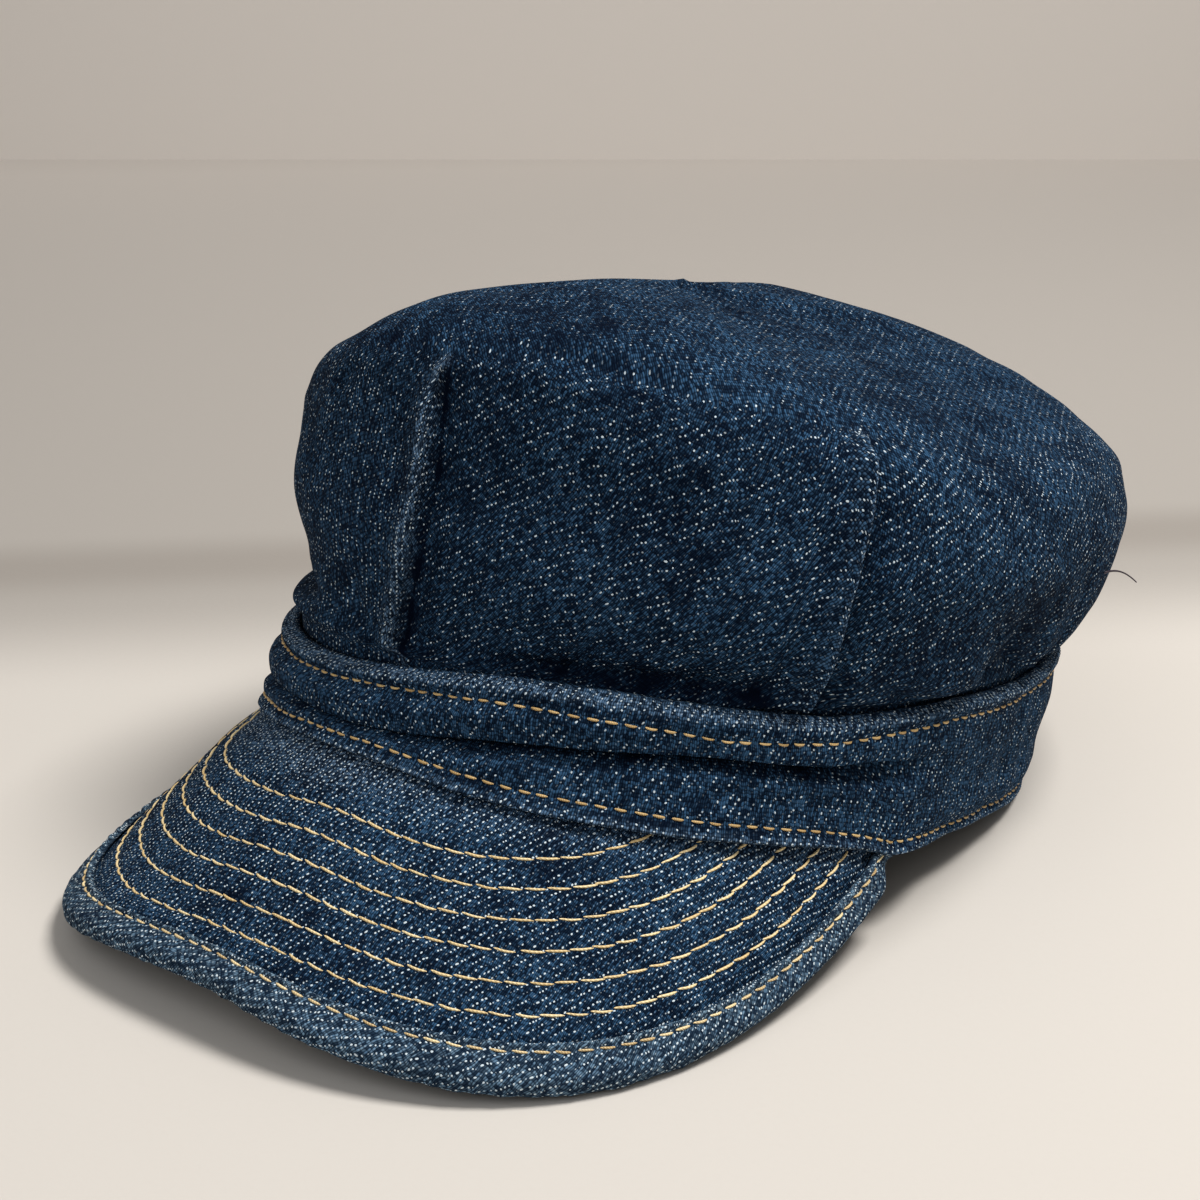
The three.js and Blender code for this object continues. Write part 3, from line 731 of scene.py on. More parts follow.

# %% [markdown]
# ## The band
# The band is a folded strip sewn round the crown. Its two long edges are turned over and
# stitched, which leaves a ridge twisted like a rope, and at the front it is squashed: the upper
# half sags over the lower half in a deep crease, the lower edge flares out onto the peak and
# the upper edge waves. The wall is the straight way from the lower to the upper edge, pushed
# out by a profile. Distances from the edges are in millimetres, so that the ridges keep their
# width where the band is lower. The fold mark paints shade into the crease and along a line
# inside each hem.

# %% The band mesh
BAND_COLUMNS = 900
BAND_ROWS = 84
CREASE_FROM = -118
CREASE_TO = 84
CREASE_FADE = 34
CREASE_ANGLES = [-120, -31, -20, -10, 0, 6, 13, 26, 42, 60, 70, 90]
CREASE_SHARES = [0.5, 0.5, 0.46, 0.43, 0.46, 0.5, 0.55, 0.61, 0.68, 0.68, 0.66, 0.62]
LOWER_STITCH = 3.6
UPPER_STITCH = 4.2
# how far the upper edge stands above or below its plain line
EDGE_ANGLES = [-90, -60, -45, -31, -20, -10, -2, 6, 11, 20, 28, 38, 49, 57, 80, 101, 125]
EDGE_SHIFTS = [0, -1.2, -2.4, -2.6, -2.2, -1, 0, 1.5, 2.6, 3.2, 3.2, 2.4, 1, 0, 0.8, -0.6, 0]
# how far the lower edge is pushed out and hangs down, where it lies on the peak
FLARE_ANGLES = [-180, -20, -5, 10, 20, 40, 52, 64, 75, 180]
FLARES = [0, 0, 0.2, 0.7, 0.9, 1, 0.75, 0.25, 0, 0]
FLARE_OUT, FLARE_DOWN = 4.2, 2.3
ROPE_PITCH, ROPE_RADIUS = 1.9, 92
RIDGE_STANDS, ROPE_STANDS, GROOVE_DEPTH = 0.95, 0.22, 0.4
PINCH_DEPTH, LIP_STANDS, LOWER_LIP_STANDS, CREASE_SAG = 5.4, 2.1, 0.7, 3.4
DRAWN_LOW, DRAWN_HIGH, SIDE_RAISED = 3.0, 2.2, 1.8


def crease_at(degrees):
    """How deep the crease is at an angle, 0 to 1."""
    opening = smooth(CREASE_FROM - CREASE_FADE, CREASE_FROM, degrees)
    return opening * (1 - smooth(CREASE_TO - CREASE_FADE, CREASE_TO, degrees))


def band_stand(degrees, share, tall):
    """How far the face stands out and how far it hangs, from ridges, crease and ripples."""
    up, down = share * tall, (1 - share) * tall
    crease = crease_at(degrees)
    off = share - np.interp(degrees, CREASE_ANGLES, CREASE_SHARES)
    run = np.radians(degrees) * ROPE_RADIUS + up * 0.8
    rope = 0.5 + 0.5 * np.sin(2 * np.pi * run / ROPE_PITCH)
    ridge = RIDGE_STANDS * (bump(up - 1.5, 1.35) + bump(down - 1.8, 1.5))
    twist = ROPE_STANDS * rope * (bump(up - 1.4, 1.1) + bump(down - 1.6, 1.2))
    groove = -GROOVE_DEPTH * (bump(up - LOWER_STITCH, 0.5) + bump(down - UPPER_STITCH, 0.5))
    ends = -1.9 * (1 - smooth(0, 1.3, up)) - 1.5 * (1 - smooth(0, 1.3, down))
    pinch = -PINCH_DEPTH * smooth(-0.24, -0.02, off) * (1 - smooth(0.0, 0.07, off))
    lip = LIP_STANDS * bump(off - 0.14, 0.11) + LOWER_LIP_STANDS * bump(off + 0.24, 0.1)
    u = degrees / 360
    uneven = 0.45 * ripples(u, share, 21, 40, 4)
    uneven = uneven + 0.2 * ripples(u + share * 0.02, share, 22, 130, 6)
    calm = smooth(0, 6, up) * smooth(0, 6, down)
    drawn_in = DRAWN_LOW * (1 - smooth(0.0, 0.28, share))
    drawn_in = drawn_in + DRAWN_HIGH * (1 - smooth(0.35, 0.75, share))
    side = smooth(70, 86, degrees) * (1 - smooth(138, 168, degrees))
    tucks = 0.9 * bump(turn_between(96, degrees) - 6 * share, 2.2) + 0.7 * bump(degrees - 106, 2.0)
    stand = 0.3 + ridge + twist + groove + ends + crease * (pinch + lip)
    flare = np.interp(degrees, FLARE_ANGLES, FLARES) * (1 - smooth(0, 0.55, share))
    stand = stand + uneven * mix(0.35, 1, calm) - side * drawn_in - tucks * calm
    stand = stand + FLARE_OUT * flare
    sag = -CREASE_SAG * bump(off - 0.07, 0.06) * crease
    raised = SIDE_RAISED * (1 - smooth(0, 0.5, share)) * bump(degrees - 98, 14)
    shift = np.interp(degrees, EDGE_ANGLES, EDGE_SHIFTS) * smooth(0.3, 1.0, share)
    return stand, sag + raised + shift - FLARE_DOWN * flare


def band_face(angle, share):
    """The band's face: a share of the way up its plain wall, pushed out and up or down."""
    degrees = np.degrees(np.arctan2(np.sin(angle), np.cos(angle)))
    low, high = band_rim(angle), band_top(angle)
    stand, hang = band_stand(degrees, share, np.linalg.norm(high - low, axis=-1))
    place = mix(low, high, share[..., None]) + outward(angle) * stand[..., None]
    return place + np.stack([0 * hang, 0 * hang, hang], -1)


def band_shares():
    """Shares of the way up, closer together at the ridges."""
    even = np.linspace(0, 1, BAND_ROWS)
    return even - 0.06 * np.sin(2 * np.pi * even)


def make_band():
    """The band's wall, from its lower to its upper edge, all the way round."""
    angles = np.linspace(0, 2 * np.pi, BAND_COLUMNS, endpoint=False)
    angle, share = np.meshgrid(angles, band_shares(), indexing="ij")
    face = band_face(angle, share)
    back_rows = np.unique(np.linspace(0, BAND_ROWS - 1, 20).astype(int))
    degrees = np.degrees(np.arctan2(np.sin(angle), np.cos(angle)))
    tall = np.linalg.norm(band_top(angle) - band_rim(angle), axis=-1)
    stand, hang = band_stand(degrees, share, tall)
    followed = 0.3 - BAND_WALL + np.maximum(stand - 2.5, 0)
    behind = np.minimum(followed, stand - 1.3)[..., None]
    back = mix(band_rim(angle), band_top(angle), share[..., None]) + outward(angle) * behind
    back = (back + np.stack([0 * hang, 0 * hang, hang], -1))[:, back_rows]
    points = np.concatenate([face.reshape(-1, 3), back.reshape(-1, 3)])
    points[:, 2] = np.maximum(points[:, 2], 0.05)
    out, inn = looped(number(face.shape)), looped(number(back.shape, angle.size))
    spread = looped(face)
    run = np.linalg.norm(np.diff(spread[:, BAND_ROWS // 2], axis=0), axis=-1)
    across = np.concatenate([[0.0], np.cumsum(run)])[:, None] * np.ones(BAND_ROWS)
    rise = np.linalg.norm(np.diff(spread, axis=1), axis=-1)
    up = np.concatenate([np.zeros((len(spread), 1)), np.cumsum(rise, axis=1)], axis=1)
    parts = wall_parts(out, inn, np.stack([across, up], -1) + 100.0, back_rows)
    up, down = share * tall, (1 - share) * tall
    wear = 1.4 * bump(up - 1.1, 0.9) + 1.4 * bump(down - 1.0, 0.9)
    off = share - np.interp(degrees, CREASE_ANGLES, CREASE_SHARES)
    # Painted shade: in the crease under the sagging upper half, and in a line inside each hem.
    painted_shade = 1.25 * smooth(-0.3, -0.03, off) * (1 - smooth(-0.01, 0.05, off))
    painted_shade = painted_shade * crease_at(degrees)
    painted_shade = painted_shade + 0.6 * bump(up - 2.9, 0.5) + 0.6 * bump(down - 3.0, 0.5)
    marks = face_marks(back[..., 0].size, wear=wear, fold=-PAINTED_SHADE_DEPTH * painted_shade)
    return make_mesh("band_cloth", points + SHIFT, parts, marks=marks)


band = make_band()

# %% [markdown]
# ## The peak
# Two layers of denim lie over a stiff core and are quilted together by rows of stitches that
# follow the outer edge. Each row pulls the cloth down a little, so the cloth puffs up between
# the rows. Thread alone would look drawn on, so the relief is in the mesh. Near the band the
# cloth is rubbed pale.

# %% The peak mesh
PEAK_COLUMNS = 420
PEAK_ROWS = 84
UNDER_BAND = 1.5
STITCH_INSETS = [15.6, 22.2, 28.8, 35.3, 41.9, 48.5]
BINDING_WIDTH = 9.4
BINDING_STITCH = 7.4


def row_inset(row, turn):
    """The inset of a row of stitches, which drifts outward on the side that is worn most."""
    return row * (1 - 0.12 * smooth(0.3, 0.75, -turn) - 0.03 * bump(turn + 0.56, 0.12))


def peak_relief(turn, inset):
    """How far the upper cloth stands up: dips under the rows of stitches, puffs between."""
    dips = sum(bump(inset - row_inset(row, turn), 0.75) for row in STITCH_INSETS)
    uneven = ripples((turn + 1) / 2.01, inset / 70, 31, 34, 8)
    fine = ripples((turn + 1) / 2.01, inset / 70, 32, 130, 30)
    near_band = smooth(0, 9, root_inset(turn) - inset)
    at_binding = bump(inset - BINDING_WIDTH, 1.3)
    return -0.42 * dips - 0.5 * at_binding + 0.2 * uneven + 0.09 * fine - 0.2 * (1 - near_band)


def make_peak():
    """The stiff plate of the peak between its edge and the band."""
    turn, share = np.meshgrid(
        np.linspace(-1, 1, PEAK_COLUMNS), np.linspace(0, 1, PEAK_ROWS), indexing="ij"
    )
    root = root_inset(turn) + UNDER_BAND
    inset = mix(NOSE_RADIUS, root, share)
    face = peak_at(turn, inset, peak_relief(turn, inset))
    rows = np.unique(np.linspace(0, PEAK_ROWS - 1, 16).astype(int))
    back = peak_at(turn[:, rows], inset[:, rows], -PEAK_THICKNESS)
    across, forward = pattern_point(turn, inset)
    flat = np.stack([across, -forward], -1) + 200.0
    out, inn = number(face.shape), number(back.shape, turn.size)
    parts = wall_parts(out, inn, flat, rows, ends=True)
    points = np.concatenate([face.reshape(-1, 3), back.reshape(-1, 3)])
    near = 1 - smooth(1, 15, root - inset)
    left = bump(turn + 0.2, 0.26)
    streaks = 0.5 + 0.5 * ripples((turn + 1) / 2.01, inset / 70, 33, 160, 6)
    wear = near * left * mix(0.3, 1.0, streaks) + 0.6 * near
    marks = face_marks(back[..., 0].size, wear=wear)
    points = points + [0, 0, FRONT_RISE] + SHIFT
    return make_mesh("peak_cloth", points, parts, marks=marks)


peak = make_peak()

# %% [markdown]
# ## The binding
# A strip of the same denim is folded round the edge of the peak and stitched through. In
# section it is a long U, so a profile of inset and lift is carried round the edge. The cloth
# is pulled in at every stitch and wears pale on the fold, which the marks tell the material.

# %% The binding mesh
BINDING_COLUMNS = 620
STITCH_PITCH = 4.1


def make_binding():
    """The folded strip: an outer and an inner U, carried round the edge of the peak."""
    turns = np.linspace(-1, 1, BINDING_COLUMNS)
    root = root_inset(turns) - GAP
    leg = np.minimum(BINDING_WIDTH, root)
    nose_turns = np.radians(np.linspace(-90, 90, 15))
    middle = -PEAK_THICKNESS / 2
    length = np.concatenate(
        [[0], np.cumsum(np.linalg.norm(np.diff(peak_at(turns, 5.0), axis=0), axis=-1))]
    )
    legs = np.linspace(0, 1, 15)[1:]

    def fold(radius, face):
        """Insets and lifts of one side of the U for every column, from lower to upper leg."""
        ones = np.ones((len(turns), 1))
        lower = mix(NOSE_RADIUS, leg[:, None], legs[::-1])
        upper = mix(NOSE_RADIUS, leg[:, None], legs)
        round_inset = NOSE_RADIUS - radius * np.cos(nose_turns) * ones
        round_lift = middle + radius * np.sin(nose_turns) * ones
        inset = np.concatenate([lower, round_inset, upper], 1)
        lift = np.concatenate(
            [middle - radius + 0 * lower, round_lift, middle + radius + 0 * upper], 1
        )
        if face:
            on_top = np.sign(lift - middle) * smooth(3.0, 5.0, inset)
            pucker = 0.5 + 0.5 * np.cos(2 * np.pi * length / STITCH_PITCH)[:, None]
            u = (length / length[-1])[:, None] * 0.995
            lumps = ripples(u + 0 * inset, np.clip(inset / 10, 0, 1), 41, 74, 4)
            small = ripples(u + 0 * inset, np.clip(inset / 10, 0, 1), 42, 210, 5)
            groove = -0.45 * bump(inset - BINDING_STITCH, 0.55) * mix(0.6, 1, pucker)
            rope = 0.42 * bump(inset - leg[:, None] + 0.9, 0.75) * mix(0.5, 1, pucker)
            close = -0.7 * smooth(-0.45, 0, inset - leg[:, None])
            lift = lift + on_top * (groove + rope + close)
            lift = lift + 0.16 * lumps * np.sign(lift - middle) + 0.07 * small
            wobble = 0.22 * lumps + 0.15 * small
            inset = inset + wobble * smooth(2.5, 0.5, inset)
        return inset, lift

    inset, lift = fold(NOSE_RADIUS, True)
    face = peak_at(turns[:, None] + 0 * inset, inset, lift)
    in_inset, in_lift = fold(NOSE_RADIUS - BINDING_WALL, False)
    back = peak_at(turns[:, None] + 0 * in_inset, in_inset, in_lift)
    step = np.linalg.norm(np.diff(face, axis=1), axis=-1)
    down = np.concatenate([np.zeros((len(face), 1)), np.cumsum(step, axis=1)], axis=1)
    turn = np.radians(40)
    around = length[:, None] + 0 * down
    flat = np.stack(
        [
            around * np.cos(turn) - down * np.sin(turn),
            around * np.sin(turn) + down * np.cos(turn),
        ],
        -1,
    ) + 300.0
    out, inn = number(face.shape), number(back.shape, face.shape[0] * face.shape[1])
    parts = wall_parts(out, inn, flat, ends=True)
    points = np.concatenate([face.reshape(-1, 3), back.reshape(-1, 3)])
    upper = (lift > middle).astype(float)
    wear = 0.45 + 0.55 * upper * bump(inset - leg[:, None] + 0.6, 0.7)
    wear = wear + 0.2 * bump(inset, 1.6)
    marks = face_marks(back[..., 0].size, wear=wear)
    points = points + [0, 0, FRONT_RISE] + SHIFT
    return make_mesh("peak_binding_cloth", points, parts, marks=marks)


binding = make_binding()

# %% [markdown]
# ## Rows of stitches
# The golden thread shows as short lengths that come out of the cloth, lie on it and dive back
# in. A dashed line in the material would be flat, and a curve with an array modifier would
# give each stitch its own object. Here one function lays a small tapered tube along every
# piece of a row at once: places along the row come from its running length.

# %% Stitches as small tapered tubes
THREAD_RADIUS = 0.28
TUBE_SIDES = 6
TUBE_RINGS = 7
BAND_PITCH, PEAK_PITCH = 3.9, 4.7


def stitch_row(points, normals, pitch, cover, seed, skew=0.25, lift=0.12):
    """Vertices of every stitch in a row: pitch apart, covering a share of it, slightly skewed."""
    run = np.linalg.norm(np.diff(points, axis=0), axis=-1)
    length = np.concatenate([[0.0], np.cumsum(run)])
    count = max(int(length[-1] / pitch), 1)
    rng = np.random.default_rng(seed)
    start = (np.arange(count) + 0.5 * (1 - cover)) * length[-1] / count
    start = start + rng.uniform(-0.06, 0.06, count) * pitch
    t = np.linspace(0, 1, TUBE_RINGS)
    reach = pitch * cover * rng.uniform(0.93, 1.07, count)
    s = start[:, None] + t * reach[:, None]
    place = np.stack([np.interp(s, length, points[:, k]) for k in range(3)], -1)
    normal = unit(np.stack([np.interp(s, length, normals[:, k]) for k in range(3)], -1))
    along = unit(np.gradient(place, axis=1))
    side = np.cross(along, normal)
    sway = skew * rng.uniform(0.4, 1.3, count)[:, None] * (t - 0.5 + 0.6 * np.sin(np.pi * t))
    arch = np.sin(np.pi * t) ** 0.4
    rise = THREAD_RADIUS * (1.35 * arch - 0.75) + lift
    centre = place + side * sway[..., None] + normal * rise[None, :, None]
    thick = THREAD_RADIUS * mix(0.45, 1.0, arch) * rng.uniform(0.9, 1.12, count)[:, None]
    turn = np.linspace(0, 2 * np.pi, TUBE_SIDES, endpoint=False)
    ring = (
        np.cos(turn)[:, None] * side[:, :, None, :] + np.sin(turn)[:, None] * normal[:, :, None, :]
    )
    tube = centre[:, :, None, :] + ring * thick[:, :, None, None]
    tips = centre[:, [0, -1]] + along[:, [0, -1]] * np.array([-0.4, 0.4])[:, None] * THREAD_RADIUS
    tone = np.repeat(rng.uniform(0, 1, count), TUBE_RINGS * TUBE_SIDES + 2)
    vertices = np.concatenate([tube.reshape(count, -1, 3), tips], 1)
    return vertices, t, tone


def make_stitches(name, rows):
    """One mesh of all the stitches of some rows, with rings joined and ends closed."""
    vertices = np.concatenate([row[0] for row in rows])
    tone = np.concatenate([row[2] for row in rows])
    count, each = vertices.shape[:2]
    ring = np.arange(TUBE_RINGS * TUBE_SIDES).reshape(TUBE_RINGS, TUBE_SIDES)
    ring = np.concatenate([ring, ring[:, :1]], 1)
    start = (np.arange(count) * each)[:, None]
    around, along = np.meshgrid(
        np.arange(TUBE_SIDES + 1.0), np.arange(float(TUBE_RINGS)), indexing="ij"
    )
    flat = np.stack([around.T / TUBE_SIDES, along.T * 0.6], -1)
    faces, places = quads(ring, flat, turned=True)
    low, high = ring[0], ring[-1]
    first, last = np.full(TUBE_SIDES, each - 2), np.full(TUBE_SIDES, each - 1)
    fan_low = np.stack([low[1:], first, low[:-1]], -1)
    fan_high = np.stack([high[:-1], last, high[1:]], -1)
    all_faces = (start[:, :, None] + faces[None]).reshape(-1, 4)
    all_flat = np.tile(places, (count, 1, 1))
    all_fans = (start[:, :, None] + np.concatenate([fan_low, fan_high])[None]).reshape(-1, 3)
    fan_flat = np.zeros((len(all_fans), 3, 2))
    points = vertices.reshape(-1, 3) + SHIFT
    return make_mesh(
        name, points, [(all_faces, all_flat)], [(all_fans, fan_flat)], {"tone": tone}
    )


# %% Stitches on the band
def band_row(millimetres, from_top):
    """A line round the band at a distance from one of its edges."""
    angles = np.linspace(-np.pi, np.pi, 1600)
    tall = np.linalg.norm(band_top(angles) - band_rim(angles), axis=-1)
    share = millimetres / tall
    return angles, (1 - share if from_top else share)


def surface_row(surface, first, second, step, flip=1.0):
    """Points and normals of a line on a surface; the normal is the cross of its directions."""
    here = surface(first, second)
    tangent = np.gradient(here, axis=0)
    nudge = surface(first, second + step) - here
    return here, flip * unit(np.cross(tangent, nudge))


band_rows = []
for seed, (distance, from_top) in enumerate([(LOWER_STITCH, False), (UPPER_STITCH, True)]):
    points, normals = surface_row(band_face, *band_row(distance, from_top), step=0.01)
    band_rows.append(stitch_row(points, normals, BAND_PITCH, 0.66, 50 + seed, skew=0.12))
band_stitching = make_stitches("band_stitching", band_rows)

# %% Stitches on the peak and its binding
def peak_row(inset, lower=False):
    """A line round the peak at an inset, cut where the band covers it."""
    turns = np.linspace(-1, 1, 1801)
    turns = turns[root_inset(turns) > row_inset(inset, turns) + 0.9]
    drifted = row_inset(inset, turns)
    lift = -PEAK_THICKNESS if lower else peak_relief(turns, drifted)
    points = peak_at(turns, drifted, lift)
    raised = peak_at(turns, drifted, lift + 0.5)
    normals = unit(raised - points) * (-1 if lower else 1)
    return points + [0, 0, FRONT_RISE], normals


peak_rows = []
for seed, inset in enumerate(STITCH_INSETS):
    for lower, cover, first, skew in ((False, 1.0, 60, 0.5), (True, 0.9, 70, 0.3)):
        line = peak_row(inset, lower)
        peak_rows.append(stitch_row(*line, PEAK_PITCH, cover, first + seed, skew=skew))
peak_stitching = make_stitches("peak_stitching", peak_rows)


def binding_row(lower):
    """The line of stitches along the binding, on its upper or its lower leg."""
    turns = np.linspace(-1, 1, 1801)
    turns = turns[root_inset(turns) > BINDING_STITCH + 0.5]
    middle, sign = -PEAK_THICKNESS / 2, (-1 if lower else 1)
    lift = middle + sign * (NOSE_RADIUS - 0.35)
    points = peak_at(turns, np.full_like(turns, BINDING_STITCH), lift)
    raised = peak_at(turns, np.full_like(turns, BINDING_STITCH), lift + 0.5)
    return points + [0, 0, FRONT_RISE], unit(raised - points) * sign


binding_rows = [
    stitch_row(*binding_row(lower), STITCH_PITCH, 0.8, 80 + lower, skew=0.35)
    for lower in (False, True)
]
binding_stitching = make_stitches("binding_stitching", binding_rows)

# %% [markdown]
# ## A loose thread
# One dark end of thread, a little over a centimetre long, sticks out of the crown behind the
# wearer's left ear. A curve with a bevel would make it as well, but a tube from the same numpy
# way keeps all the meshes alike: rings of points round an arched path.

# %% The loose thread
LOOSE_START = (109.0, 3.4)
LOOSE_REACH = 13.0
LOOSE_RADIUS = 0.3


def make_loose_thread():
    """A thin tube along an arch that leaves the crown outward and droops at its end."""
    angle, height = np.radians([LOOSE_START[0]]), np.array([LOOSE_START[1]])
    root = crown_base(angle, height)[0]
    normal = crown_normal(angle, height)[0]
    aside = unit(np.cross([0, 0, 1.0], normal))
    t = np.linspace(0, 1, 18)[:, None]
    path = root + normal * (LOOSE_REACH * 0.55 * t - 0.6) + aside * LOOSE_REACH * 0.75 * t
    path = path + np.array([0, 0, 1.0]) * (1.6 * np.sin(np.pi * t * 0.9) - 1.9 * t**2)
    along = unit(np.gradient(path, axis=0))
    side = unit(np.cross(along, [0, 0, 1.0]))
    up = np.cross(side, along)
    turn = np.linspace(0, 2 * np.pi, 6, endpoint=False)[None, :, None]
    radius = LOOSE_RADIUS * (1 - 0.5 * t[:, :, None])
    tube = path[:, None] + radius * (np.cos(turn) * side[:, None] + np.sin(turn) * up[:, None])
    points = np.concatenate([tube.reshape(-1, 3), path[[0]], path[[-1]]])
    ring = number(tube.shape[:2])
    ring = np.concatenate([ring, ring[:, :1]], 1)
    last = len(points) - 1
    low = np.stack([ring[0, 1:], np.full(6, last - 1), ring[0, :-1]], -1)
    high = np.stack([ring[-1, :-1], np.full(6, last), ring[-1, 1:]], -1)
    fans = [(low, np.zeros((6, 3, 2))), (high, np.zeros((6, 3, 2)))]
    return make_mesh("loose_thread", points + SHIFT, [quads(ring, turned=True)], fans)


loose_thread = make_loose_thread()

# %% [markdown]
# ## Nodes as plain maths
# A woven cloth is a lot of arithmetic on two numbers, and nodes for it are tedious to join by
# hand. A small class wraps a socket, so that a sum or a product of sockets adds its own Math
# nodes. Any other node comes from one method that takes its type, its settings and what goes
# into its sockets.

# %% A socket that can be added and multiplied
class Socket:
    """One output of a node; maths on it adds Math nodes to its material."""

    def __init__(self, paint, output):
        self.paint, self.output = paint, output

    def math(self, operation, *others):
        """A Math node of this socket and up to two other values."""
        inputs = dict(enumerate((self, *others)))
        return self.paint.node("ShaderNodeMath", {"operation": operation}, inputs)

    def __add__(self, other):
        return self.math("ADD", other)

    def __sub__(self, other):
        return self.math("SUBTRACT", other)

    def __rsub__(self, other):
        return self.math("MULTIPLY", -1.0).math("ADD", other)

    def __mul__(self, other):
        return self.math("MULTIPLY", other)

    def __truediv__(self, other):
        return self.math("DIVIDE", other)

    def __pow__(self, other):
        return self.math("POWER", other)

    __radd__ = __add__
    __rmul__ = __mul__

    def floor(self):
        return self.math("FLOOR")

    def soft(self, low, high):
        """The soft step from low to high, as a Map Range node."""
        settings = {"interpolation_type": "SMOOTHSTEP"}
        return self.paint.node("ShaderNodeMapRange", settings, {0: self, 1: low, 2: high})

    def clip(self):
        return self.math("MINIMUM", 1.0).math("MAXIMUM", 0.0)


class Paint:
    """A material under way: it makes nodes and joins their sockets."""

    def __init__(self, name):
        self.material = bpy.data.materials.new(name)
        self.material.use_nodes = True
        self.tree = self.material.node_tree
        self.tree.nodes.clear()

    def node(self, kind, settings=None, inputs=None, output=0):
        """A node of a type, with its settings made first and then its inputs."""
        made = self.tree.nodes.new(kind)
        for key, value in (settings or {}).items():
            setattr(made, key, value)
        for key, value in (inputs or {}).items():
            if isinstance(value, Socket):
                self.tree.links.new(value.output, made.inputs[key])
            else:
                made.inputs[key].default_value = value
        return Socket(self, made.outputs[output]) if made.outputs else None

    def split(self, vector):
        """The three numbers of a vector."""
        first = self.node("ShaderNodeSeparateXYZ", None, {0: vector})
        return [Socket(self, output) for output in first.output.node.outputs]

    def cloth(self):
        """The place in the flat cloth, in millimetres, as a vector."""
        return self.node("ShaderNodeUVMap", {"uv_map": "cloth"})

    def mark(self, name):
        """A number stored on the points of the mesh."""
        return self.node("ShaderNodeAttribute", {"attribute_name": name}, output="Fac")

    def blend(self, share, first, second):
        """A mix of two colours by a share."""
        settings = {"data_type": "RGBA", "clamp_factor": True}
        inputs = {"Factor": share, 6: first, 7: second}
        return self.node("ShaderNodeMix", settings, inputs, output=2)

    def noise(self, place, scale, detail=2.0):
        """Soft cloudy noise, about 0.3 to 0.7."""
        inputs = {"Vector": place, "Scale": scale, "Detail": detail}
        return self.node("ShaderNodeTexNoise", None, inputs)

    def finish(self, colour, roughness, height, distance, strength, gloss, piece):
        """The Principled surface with its bump, put on a piece."""
        bumped = {"Strength": strength, "Distance": distance, "Height": height}
        normal = self.node("ShaderNodeBump", None, bumped)
        inputs = {
            "Base Color": colour,
            "Roughness": roughness,
            "Normal": normal,
            "Specular IOR Level": gloss,
        }
        surface = self.node("ShaderNodeBsdfPrincipled", None, inputs)
        self.node("ShaderNodeOutputMaterial", None, {"Surface": surface})
        piece.data.materials.append(self.material)


# %% [markdown]
# ## Denim
# Denim is a twill: blue yarns run one way and pass over three white yarns, then under one, and
# each blue yarn starts one step later than its neighbour. So the white yarn shows as a pale
# dot on a slanted row. The pattern could be a tiled picture, but as arithmetic it stays sharp
# and never repeats: the yarn's number and the place along it say whether a point lies on a
# dot, and a random number for each dot makes some bright and hides others.

# %% The twill
WARP_PITCH = 0.46
WEFT_PITCH = 0.84


def pick(paint, key, shift):
    """A random number, 0 to 1, for every whole pair of numbers in a key."""
    moved = paint.node("ShaderNodeVectorMath", {"operation": "ADD"}, {0: key, 1: shift})
    return paint.node("ShaderNodeTexWhiteNoise", {"noise_dimensions": "2D"}, {"Vector": moved})


def flat_place(paint, top):
    """The place in the flat cloth; over the top of the crown the plan takes over, dithered."""
    place = paint.cloth()
    if not top:
        return place
    plan = paint.node("ShaderNodeTexCoord", None, output="Object")
    turned = {"Vector": plan, "Rotation": (0, 0, TOP_TURN), "Scale": (1000, 1000, 1000)}
    above = paint.node("ShaderNodeMapping", None, turned)
    over = paint.mark("top").math("GREATER_THAN", paint.noise(place, 0.9, 0.0) * 0.6 + 0.2)
    mixed = {"Factor": over, 4: place, 5: above}
    return paint.node("ShaderNodeMix", {"data_type": "VECTOR"}, mixed, output=1)


TOP_TURN = np.radians(-50)
FLECK = (0.60, 0.70, 0.76, 1)


